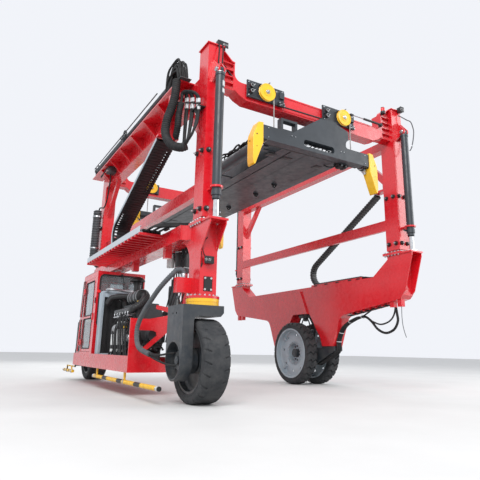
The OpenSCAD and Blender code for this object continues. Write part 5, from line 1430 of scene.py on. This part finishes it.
class CARRIER_OT_carriages(bpy.types.Operator):
    """Anchors, bolts, hubs and cylinder of the carriages on the transverse beams"""
    bl_idname = "carrier.carriages"
    bl_label = "Carriage fittings"

    def execute(self, context):
        dark, bolts, rings, steel, sheaves = (bmesh.new() for _ in range(5))
        for sy in (-1, 1):
            out = Y * sy
            face = sy * 2.973
            for cx, sheave in ((-1.05, -1.05), (0.5, 0.6)):
                for u in (-0.325, 0.325):
                    for z in (4.665, 4.9):
                        bolt(bolts, (cx + u, face, z), out, 0.01, 0.012)
                left = cx - 0.3
                for z in (4.715, 4.815):
                    at = Vector((left, face + sy * 0.034, z))
                    turned(dark, at, out,
                           [(0.04, -0.004), (0.04, 0.01), (0.034, 0.02), (0.034, 0.034), (0, 0.034)], 24)
                    turned(rings, at + out * 0.03, out,
                           [(0.021, 0), (0.03, 0.001), (0.031, 0.01), (0.022, 0.012)], 24)
                    lead = [(0.018, sy * 0.034, 0), (0.036, sy * 0.05, 0.012), (0.052, sy * 0.036, 0.03)]
                    tube(rings, shifted(lead, at), 0.006, 8, 5)
                right = cx + 0.3
                block(dark, (right - 0.075, face, 4.612), (right + 0.055, face + sy * 0.034, 4.69), 0.005)
                for u, z in ((-0.055, 4.672), (-0.02, 4.64), (0.02, 4.664), (-0.05, 4.624), (0.04, 4.628)):
                    drum(steel, (right + u, face + sy * 0.032, z), out, 0.012, 0.018, 6)
                    drum(steel, (right + u, face + sy * 0.048, z), out, 0.006, 0.012, 10)
                # hub and rope keepers of the sheave
                hub = Vector((sheave, sy * 3.024, SHEAVE_Z))
                boss = [(0.037, -0.001), (0.037, 0.012), (0.03, 0.02), (0.03, 0.028), (0, 0.028)]
                turned(steel, hub, out, boss, 32)
                drum(steel, hub + out * 0.026, out, 0.016, 0.012, 6)
                for angle in (15, 80, 145):
                    a = radians(angle)
                    spot = Vector((sheave + 0.167 * cos(a), face, SHEAVE_Z + 0.167 * sin(a)))
                    drum(dark, spot - out * 0.001, out, 0.009, 0.072, 10)
                    drum(bolts, spot + out * 0.068, out, 0.013, 0.008, 6)
                for u in (-0.22, 0.22):
                    drum(bolts, (cx + u, sy * 2.922, 4.935), -out, 0.012, 0.03, 6)
            wheel = [(0, 0.004), (0.11, 0.004), (0.124, 0), (0.15, 0), (0.15, 0.006), (0.136, 0.018),
                     (0.15, 0.03), (0.15, 0.036), (0.126, 0.036), (0.112, 0.02), (0.05, 0.02),
                     (0.046, 0.03), (0, 0.03)]
            for x in (-0.95, 0.4):
                at = Vector((x, sy * 2.668, 4.79))
                turned(sheaves, at, -out, wheel, 48)
                cap = [(0.036, 0), (0.036, 0.014), (0.028, 0.02), (0, 0.02)]
                turned(steel, at - out * 0.029, -out, cap, 28)
                tube(dark, [at + Vector((0.14, sy * -0.018, z)) for z in (0, -0.06, -0.135)], 0.009, 10, 2)
                block(dark, (x + 0.115, sy * 2.628, 4.632), (x + 0.165, sy * 2.672, 4.662), 0.004)
        # rod between the front carriages, and the side shift cylinder's rod
        tube(dark, [(-0.7, -2.986, 4.628), (-0.3, -2.986, 4.634), (0.15, -2.986, 4.64)], 0.013, 10, 3)
        tube(steel, [(0.85, -2.986, 4.915), (1.1, -2.986, 4.915), (1.38, -2.986, 4.915)], 0.01, 10, 2)
        block(dark, (0.785, -2.998, 4.895), (0.858, -2.972, 4.935), 0.004)
        piece("inner_sheaves", sheaves, "side_shift", "yellow")
        piece("carriage_blocks", dark, "side_shift", "black")
        piece("carriage_bolts", bolts, "side_shift", "zinc")
        piece("rope_anchors", rings, "side_shift", "alloy")
        piece("sheave_hubs", steel, "side_shift", "steel")
        bm = bmesh.new()
        tube(bm, [(1.115, -2.986, 4.915), (1.35, -2.986, 4.915), (1.58, -2.986, 4.915)], 0.021, 16, 2)
        block(bm, (1.545, -3.0, 4.885), (1.59, -2.929, 4.945), 0.004)
        draw = Random(5).random
        for k in range(5):
            y = -2.905 + 0.03 * k
            rise = 0.012 * draw()
            tube(bm, [(-1.545, y, 4.872), (-1.6, y, 4.885 + rise), (-1.7, y + 0.01, 4.98 + rise),
                      (-1.78, y + 0.01, 5.07), (-1.855, y + 0.01, 5.1)], 0.012, 8, 5)
        piece("side_shift_cylinder", bm, "lift_frame", "black")
        return {"FINISHED"}


class CARRIER_OT_spreader(bpy.types.Operator):
    """Bolts, hoses, motors, side cylinder, lugs and plates of the spreader"""
    bl_idname = "carrier.spreader"
    bl_label = "Spreader fittings"

    def execute(self, context):
        bolts, hoses, dark, slate, copper = (bmesh.new() for _ in range(5))
        for sy in (-1, 1):
            out = Y * sy
            face = sy * 3.034
            for x, z in ((-0.58, 4.118), (-0.51, 4.118), (0.475, 4.09), (0.545, 4.09),
                         (-1.04, 3.985), (-1.04, 4.145), (1.04, 3.985), (1.04, 4.145)):
                bolt(bolts, (x, face, z), out, 0.008, 0.01, False)
            # hoses in the window
            draw = Random(3).random
            for k in range(7):
                a = (-0.3 + 0.09 * k, sy * (2.93 + 0.02 * draw()), 4.022)
                b = (-0.2 + 0.1 * k * draw(), sy * 2.9, 4.118)
                mid = (a[0] + 0.07, sy * 2.965, 4.055 + 0.03 * draw())
                tube(hoses if k % 3 else bolts, [a, mid, (b[0] + 0.04, sy * 2.95, 4.095), b], 0.009, 8, 5)
            # turning gear under the beam's right part
            for x, z, r in ((0.62, 3.92, 0.045), (0.72, 3.915, 0.038)):
                motor = [(0, -0.05), (r * 0.8, -0.05), (r, -0.03), (r, 0.05), (r * 0.7, 0.06),
                         (r * 0.7, 0.09), (0, 0.09)]
                turned(dark, (x, sy * 2.835, z), -out, motor, 24)
                drum(bolts, (x, sy * 2.886, z), out, 0.016, 0.012, 6)
            block(dark, (0.54, sy * 2.76, 3.925), (0.8, sy * 2.87, 3.957), 0.006)
            tube(hoses, [(0.56, sy * 2.8, 3.92), (0.5, sy * 2.76, 3.9), (0.44, sy * 2.7, 3.915),
                         (0.4, sy * 2.66, 3.951)], 0.01, 8, 5)
            for x in (-1.12, 1.12):
                tube(dark, [(x - 0.1, sy * 2.84, 3.99), (x - 0.03, sy * 2.85, 3.93),
                            (x + 0.02, sy * 2.9, 3.918)], 0.012, 8, 4)
            # black sheets in the recesses of the underside are painted shade; dark seams and lugs
            recesses = ((-0.74, -0.58, 2.46, 2.6, 3.948), (-0.43, -0.25, 2.46, 2.6, 3.944),
                        (0.28, 0.43, 2.44, 2.58, 3.944), (-0.98, 0.98, 2.84, 2.868, 3.946))
            for x0, x1, y0, y1, low in recesses:
                block(dark, (x0, sy * y0, low), (x1, sy * y1, 3.96), 0.002)
            lug = [(-0.07, 0), (0.07, 0), (0.02, -0.075), (-0.02, -0.075)]
            for y in (1.3, 0.6):
                prism(dark, lug, (0.24, sy * y - 0.008, 3.951), X, Z, Y, 0.016)
                drum(bolts, (0.24, sy * y - 0.011, 3.906), Y, 0.01, 0.022, 12)
        for x in (-0.446, 0.434, -0.15):
            block(dark, (x, -2.84, 3.95), (x + 0.012, 2.84, 3.956), 0.001)
        # cylinder beside the left long beam
        barrel = [(0, 0), (0.06, 0.001), (0.06, 0.08), (0.12, 0.085), (0.12, 0.14), (0.108, 0.145),
                  (0.108, 1.9), (0.12, 1.905), (0.12, 1.96), (0.04, 1.965), (0, 1.966)]
        turned(slate, (-0.935, -2.874, 4.06), Y, barrel, 40)
        for y in (-2.6, -1.1):
            block(slate, (-1.03, y - 0.03, 3.965), (-0.64, y + 0.03, 3.99), 0.004)
            block(slate, (-0.96, y - 0.03, 3.975), (-0.91, y + 0.03, 4.0), 0.004)
        fitting = [(0, 0), (0.018, 0.002), (0.018, 0.03), (0.026, 0.034), (0.026, 0.08), (0.016, 0.086),
                   (0.016, 0.13), (0, 0.131)]
        turned(copper, (-0.8, -1.48, 4.11), Y, fitting, 20)
        draw = Random(11).random
        for k in range(16):
            x = -1.02 + 0.015 * k + 0.02 * draw()
            high = 4.2 + 0.07 * draw()
            y0 = -2.55 + 0.5 * draw()
            y1 = y0 + 0.55 + 0.5 * draw()
            tube(hoses, [(x, y0, 4.15), (x - 0.01, y0 + 0.1, high), (x + 0.02, (y0 + y1) / 2, high - 0.03),
                         (x, y1 - 0.1, high + 0.02), (x + 0.02, y1, 4.148)],
                 0.011 + 0.004 * draw(), 8, 4)
        tube(hoses, [(-0.8, -1.482, 4.11), (-0.8, -1.6, 4.125), (-0.84, -1.72, 4.19), (-0.9, -1.85, 4.2)],
             0.013, 10, 5)
        tube(hoses, [(-0.8, -1.352, 4.11), (-0.8, -1.25, 4.12), (-0.86, -1.15, 4.18), (-0.92, -1.05, 4.16)],
             0.013, 10, 5)
        piece("spreader_bolts", bolts, "spreader", "zinc")
        piece("spreader_hoses", hoses, "spreader", "hose", 60)
        # dark parts, with the black sheets of painted shade in the recesses
        piece("spreader_dark_parts", dark, "spreader", "black")
        piece("spreader_side_cylinder", slate, "spreader", "grey")
        piece("spreader_fitting", copper, "spreader", "copper")
        return {"FINISHED"}


class CARRIER_OT_upper_hoses(bpy.types.Operator):
    """Hoses and valves on the upper frame"""
    bl_idname = "carrier.upper_hoses"
    bl_label = "Upper frame hoses"

    def execute(self, context):
        hoses, fittings, cast, grey, label = (bmesh.new() for _ in range(5))
        # bundle over the front end of the left beam
        draw = Random(21).random
        for k in range(26):
            x = -2.36 + 0.13 * draw()
            y0 = -2.5 + 0.14 * draw()
            y1 = -1.95 + 0.14 * draw()
            top = 5.1 + 0.2 * draw()
            lean = 0.05 * (draw() - 0.5)
            tube(hoses, [(x, y0, 4.874), (x + lean, y0 + 0.02, 4.98), (x + lean, y0 + 0.12, top),
                         (x, (y0 + y1) / 2 + 0.05, top + 0.05), (x - lean, y1 - 0.08, top - 0.02),
                         (x, y1, 4.98), (x, y1 + 0.02, 4.874)], 0.013 + 0.004 * draw(), 8, 5)
        for k in range(6):
            drum(fittings, (-2.35 + 0.024 * k, -2.02, 4.871), Z, 0.012, 0.05, 6)
        block(cast, (-2.39, -2.56, 4.87), (-2.2, -1.76, 4.884), 0.004)
        # fittings of the hoist cylinder
        for y, out in ((0.639, -Y), (2.99, Y)):
            bolt_ring(fittings, (-2.3, y, 5.06), out, 8, 0.066, 0.006, 0.008, False)
        block(cast, (-2.33, 2.8, 5.118), (-2.27, 2.88, 5.165), 0.004)
        turned(fittings, (-2.3, 2.84, 5.164), Z,
               [(0.016, 0), (0.016, 0.02), (0.022, 0.024), (0.022, 0.05), (0.012, 0.054), (0, 0.055)], 16)
        block(cast, (-2.345, 0.7, 5.11), (-2.255, 0.79, 5.17), 0.004)
        for k in range(3):
            tube(hoses, [(-2.33 + 0.03 * k, 0.745, 5.168), (-2.33 + 0.03 * k, 0.7, 5.23),
                         (-2.34, 0.58, 5.22), (-2.35, 0.52, 5.12), (-2.34, 0.5, 4.98), (-2.34, 0.5, 4.874)],
                 0.012, 8, 5)
        # valves under the shelf at the rear, and the line down to the hose guard
        block(cast, (-2.3, 1.85, 4.7), (-2.122, 2.07, 4.846), 0.008)
        for k in range(5):
            y = 1.875 + 0.042 * k
            drum(fittings, (-2.3, y, 4.8), -X, 0.013, 0.03, 6)
            drum(fittings, (-2.3, y, 4.74), -X, 0.011, 0.045, 10)
            hang(hoses, (-2.33, y, 4.8), (-2.345, y + 0.2 + 0.03 * k, 4.74), 0.01, 0.07 + 0.01 * k,
                 (-0.03, 0, 0))
        tube(hoses, [(-2.21, 2.0, 4.702), (-2.2, 2.03, 4.58), (-2.18, 2.15, 4.45), (-2.16, 2.3, 4.25),
                     (-2.15, 2.45, 4.1), (-2.15, 2.6, 4.03), (-2.165, 2.72, 4.05),
                     (-2.195, 2.8, 4.06), (-2.205, 2.828, 4.02), (-2.205, 2.83, 3.975)], 0.016, 12, 6)
        # lines beside the front right barrel and from the head of the front left one
        tube(grey, [(2.03, -3.0, 5.23), (2.06, -3.04, 5.2), (2.15, -3.1, 5.13), (2.205, -3.15, 5.08),
                    (2.26, -3.15, 4.98), (2.275, -3.15, 4.875), (2.24, -3.15, 4.7), (2.193, -3.15, 4.56),
                    (2.15, -3.15, 4.48), (2.11, -3.15, 4.455), (2.05, -3.15, 4.45)], 0.01, 10, 6)
        for at, axis in (((2.058, -3.15, 4.45), X), ((2.2, -3.15, 4.545), Z)):
            drum(fittings, at, axis, 0.016, 0.04, 8)
        for u in (-0.03, 0.035):
            tube(hoses, [(-1.93 + u, -2.99, 5.33), (-1.935 + u, -3.03, 5.32), (-1.95 + u, -3.07, 5.2),
                         (-1.965 + u, -3.09, 5.02), (-1.97 + u, -3.088, 4.88), (-1.975 + u, -3.09, 4.78)],
                 0.011, 10, 6)
        collar = [(0.0685, 0), (0.0685, 0.006), (0.04, 0.01), (0.04, 0)]
        turned(fittings, (-1.99, -3.15, 4.752), Z, collar, 24)
        across = Vector((0.86, 0.51, 0)).normalized()
        outward = Vector((0.51, -0.86, 0)).normalized()
        turn = Matrix((across, outward, Z)).transposed()
        for z, h, w in ((4.56, 0.09, 0.05), (4.44, 0.07, 0.05)):
            tilted_block(label, Vector((-1.99, -3.15, z)) + outward * 0.0665, (w, 0.01, h), turn, 0.003)
        piece("upper_hoses", hoses, "lift_frame", "hose", 60)
        piece("upper_fittings", fittings, "lift_frame", "zinc")
        piece("upper_valves", cast, "lift_frame", "cast")
        piece("barrel_grey_line", grey, "lift_frame", "guard", 60)
        piece("barrel_blank_labels", label, "lift_frame", "label")
        return {"FINISHED"}


class CARRIER_OT_left_frame(bpy.types.Operator):
    """Canisters, drum bands and hoses round the left frame, and the feet of the cab"""
    bl_idname = "carrier.left_frame"
    bl_label = "Left frame fittings"

    def execute(self, context):
        hoses, fittings, cans, dark = (bmesh.new() for _ in range(4))
        for y, h in ((-1.3, 0.15), (-1.44, 0.17)):
            at = Vector((-1.91, y, 2.195))
            can = [(0, -0.004), (0.038, -0.004), (0.04, 0), (0.04, h), (0.034, h + 0.012), (0, h + 0.014)]
            turned(cans, at, -Z, can, 24)
            turned(fittings, at, Z, [(0.044, 0), (0.046, 0.006), (0.046, 0.04), (0.03, 0.05), (0, 0.052)], 24)
            block(fittings, (-1.965, y - 0.03, 2.215), (-1.88, y + 0.03, 2.262), 0.005)
            line = [(-1.88, 0, 2.235), (-1.845, -0.01, 2.25), (-1.82, -0.04, 2.34), (-1.85, -0.1, 2.43),
                    (-1.92, -0.12, 2.44)]
            tube(hoses, shifted(line, Y * y), 0.012, 8, 5)
        # bands and cap of the round drum
        for z in (1.99, 2.25):
            hoop(fittings, shifted(circle(40, 0.127, X, Y), (-1.8, -1.62, z)), 0.005, 6, 1.5)
        turned(dark, (-1.8, -1.62, 2.318), Z,
               [(0.125, 0), (0.118, 0.012), (0.06, 0.03), (0.045, 0.032), (0.045, 0.055), (0, 0.056)], 32)
        draw = Random(17).random
        for k in range(18):
            y0 = -1.3 - 0.9 * draw()
            y1 = y0 - 0.15 - 0.35 * draw()
            x = -1.93 + 0.13 * draw()
            z0 = 2.28 + 0.14 * draw()
            tube(hoses, [(-1.946, y0, z0), (x, y0 - 0.03, z0 - 0.05),
                         (x + 0.02, (y0 + y1) / 2, z0 - 0.1 - 0.12 * draw()), (x, y1 + 0.03, z0 - 0.08),
                         (-1.946, y1, z0 - 0.02)], 0.01 + 0.004 * draw(), 8, 5)
        # lines down the inner side to the tray
        for k in range(5):
            y = -1.5 - 0.07 * k
            tube(hoses, [(-1.9 + 0.02 * k, y, 2.2), (-1.88, y - 0.02, 2.0), (-1.9 + 0.03 * k, y + 0.04, 1.7),
                         (-1.93 + 0.03 * k, y + 0.13, 1.4), (-1.96 + 0.03 * k, y + 0.2, 1.1),
                         (-2.0 + 0.03 * k, -1.42, 0.8)], 0.012, 8, 5)
        # bundle from the trough's front end over the beam
        for k in range(9):
            x = -2.56 + 0.032 * k
            z = 2.462 + 0.022 * (k % 3)
            tube(hoses, [(x, -1.82, z + 0.015), (x + 0.01, -1.93, z + 0.01), (x + 0.06, -2.06, z + 0.045),
                         (-2.3 + 0.012 * k, -2.19, z + 0.06), (-2.14 + 0.012 * k, -2.33, z + 0.05),
                         (-2.0 + 0.006 * k, -2.43, z + 0.052), (-1.935, -2.48, z + 0.02),
                         (-1.918, -2.5, z - 0.08), (-1.918, -2.49, 2.3)], 0.015, 8, 5)
        for x, y, z in ((-2.3, -2.12, 2.56), (-2.06, -2.38, 2.56)):
            block(dark, (x - 0.02, y - 0.08, 2.469), (x + 0.02, y + 0.08, 2.484), 0.003)
        # discs by the cab's feet
        for y in (0.95, 1.75):
            drum(fittings, (-2.12, y, 2.236), Z, 0.075, 0.012, 24)
            drum(fittings, (-2.12, y, 2.19), Z, 0.075, 0.01, 24)
        piece("frame_hoses", hoses, "chassis", "hose", 60)
        piece("frame_fittings", fittings, "chassis", "zinc")
        piece("frame_canisters", cans, "chassis", "white")
        piece("frame_dark_parts", dark, "chassis", "black")
        return {"FINISHED"}


class CARRIER_OT_welds(bpy.types.Operator):
    """Weld beads along the main joints"""
    bl_idname = "carrier.welds"
    bl_label = "Weld beads"

    def execute(self, context):
        r = context.scene.carrier_sizes.weld / 2
        base, upper = bmesh.new(), bmesh.new()

        def bead(bm, points):
            tube(bm, points, r, 6, 1, ribs=(0.01, 0.0012))

        half = COLUMN_W / 2
        for sx, sy in corners():
            x, y = sx * GAUGE, sy * COLUMN_FRONT
            for s in (-1, 1):
                bead(base, [(x + s * (half - 0.016), y, SEAT_Z - 0.08),
                            (x + s * (half - 0.016), y, SEAT_Z - 0.4)])
                bead(upper, [(x + s * 0.044, y, 4.7), (x + s * 0.044, y, 5.02)])
            bead(base, [(x - half, y, SEAT_Z - 0.024), (x + half, y, SEAT_Z - 0.024)])
            inner = sx * (GAUGE - half)
            for k in range(5):
                z = 4.688 + 0.115 * k
                bead(upper, [(inner, sy * 2.918, z), (inner, sy * 2.712, z)])
        for y in (-COLUMN_FRONT, COLUMN_FRONT):
            foot = copysign(BASE, y)
            bead(base, [(-GAUGE + u * half, foot + v, SLEW_TOP + 0.037)
                        for u, v in ((-1, -0.155), (1, -0.155), (1, 0.155), (-1, 0.155), (-1, -0.155))])
        for s in (-1, 1):
            x = GAUGE + s * (half + 0.002)
            for t in (-1, 1):
                bead(base, [(x, t * 0.27, 1.512), (x, t * 0.021, 2.028)])
        piece("frame_weld_beads", base, "chassis", "red", 60)
        piece("column_weld_beads", upper, "lift_frame", "red", 60)
        return {"FINISHED"}


class CARRIER_OT_stage(bpy.types.Operator):
    """Floor, light and camera"""
    bl_idname = "carrier.stage"
    bl_label = "Stage"

    def execute(self, context):
        look = context.scene.carrier_look
        bm = bmesh.new()
        bmesh.ops.create_grid(bm, x_segments=2, y_segments=2, size=60.0)
        mesh = bpy.data.meshes.new("floor")
        bm.to_mesh(mesh)
        bm.free()
        floor = bpy.data.objects.new("floor", mesh)
        context.scene.collection.objects.link(floor)
        mat, tree, shader, place = new_finish("floor_paint")
        tone = tuple(look.floor_colour)
        drift = ramp(tree, noise(tree, place, 0.8, 6.0), [(0.3, tuple(c * 0.93 for c in tone)), (0.7, tone)])
        tree.links.new(drift, shader.inputs["Base Color"])
        shader.inputs["Roughness"].default_value = 0.75
        mesh.materials.append(mat)
        world = bpy.data.worlds.new("surround")
        world.use_nodes = True
        world.node_tree.nodes["Background"].inputs["Color"].default_value = (*look.sky_colour, 1)
        world.node_tree.nodes["Background"].inputs["Strength"].default_value = 0.95
        context.scene.world = world
        lights = (("key", (-9, -12, 13), 9, 2300), ("fill", (11, -8, 7), 8, 700),
                  ("back", (3, 13, 10), 9, 900))
        for name, at, size, power in lights:
            lamp = bpy.data.lights.new(name, "AREA")
            lamp.energy = power
            lamp.size = size
            light = bpy.data.objects.new(name, lamp)
            light.location = at
            light.rotation_euler = (Vector((0, 0, 2.6)) - Vector(at)).to_track_quat("-Z", "Y").to_euler()
            context.scene.collection.objects.link(light)
        lens = bpy.data.cameras.new("camera")
        lens.lens = 36.17
        lens.sensor_width = 36.0
        lens.shift_x = -0.0124
        lens.shift_y = -0.0288
        camera = bpy.data.objects.new("camera", lens)
        az, el, roll = (radians(angle) for angle in (30.563, 14.422, 0.971))
        ahead = Vector((sin(az) * cos(el), cos(az) * cos(el), sin(el)))
        right = Vector((cos(az), -sin(az), 0))
        up = right.cross(ahead)
        across = right * cos(roll) + up * sin(roll)
        above = up * cos(roll) - right * sin(roll)
        turn = Matrix((across, above, -ahead)).transposed()
        camera.matrix_world = Matrix.Translation((-4.922, -8.954, 0.7)) @ turn.to_4x4()
        context.scene.collection.objects.link(camera)
        context.scene.camera = camera
        context.scene.view_settings.view_transform = "Standard"
        return {"FINISHED"}


class CARRIER_PT_panel(bpy.types.Panel):
    bl_label = "Straddle carrier"
    bl_idname = "CARRIER_PT_panel"
    bl_space_type = "VIEW_3D"
    bl_region_type = "UI"
    bl_category = "Carrier"

    def draw(self, context):
        for group in (context.scene.carrier_sizes, context.scene.carrier_look):
            for key in group.__annotations__:
                self.layout.prop(group, key)
        for step in STEPS:
            self.layout.operator(step.bl_idname)


STEPS = (
    CARRIER_OT_finishes,
    CARRIER_OT_bolts,
    CARRIER_OT_wheels,
    CARRIER_OT_tyres,
    CARRIER_OT_engine,
    CARRIER_OT_bay_hoses,
    CARRIER_OT_radiator,
    CARRIER_OT_cab,
    CARRIER_OT_seat,
    CARRIER_OT_bump_bars,
    CARRIER_OT_hub_hose,
    CARRIER_OT_columns,
    CARRIER_OT_column_hoses,
    CARRIER_OT_hose_guard,
    CARRIER_OT_guides,
    CARRIER_OT_chains,
    CARRIER_OT_lamps,
    CARRIER_OT_girder,
    CARRIER_OT_carriages,
    CARRIER_OT_spreader,
    CARRIER_OT_upper_hoses,
    CARRIER_OT_left_frame,
    CARRIER_OT_welds,
    CARRIER_OT_stage,
)
CLASSES = (CarrierSizes, CarrierLook, *STEPS, CARRIER_PT_panel)


def register():
    for cls in CLASSES:
        bpy.utils.register_class(cls)
    bpy.types.Scene.carrier_sizes = bpy.props.PointerProperty(type=CarrierSizes)
    bpy.types.Scene.carrier_look = bpy.props.PointerProperty(type=CarrierLook)


def unregister():
    del bpy.types.Scene.carrier_look
    del bpy.types.Scene.carrier_sizes
    for cls in reversed(CLASSES):
        bpy.utils.unregister_class(cls)


def main():
    register()
    for step in STEPS:
        group, name = step.bl_idname.split(".")
        getattr(getattr(bpy.ops, group), name)()


if __name__ == "__main__":
    main()
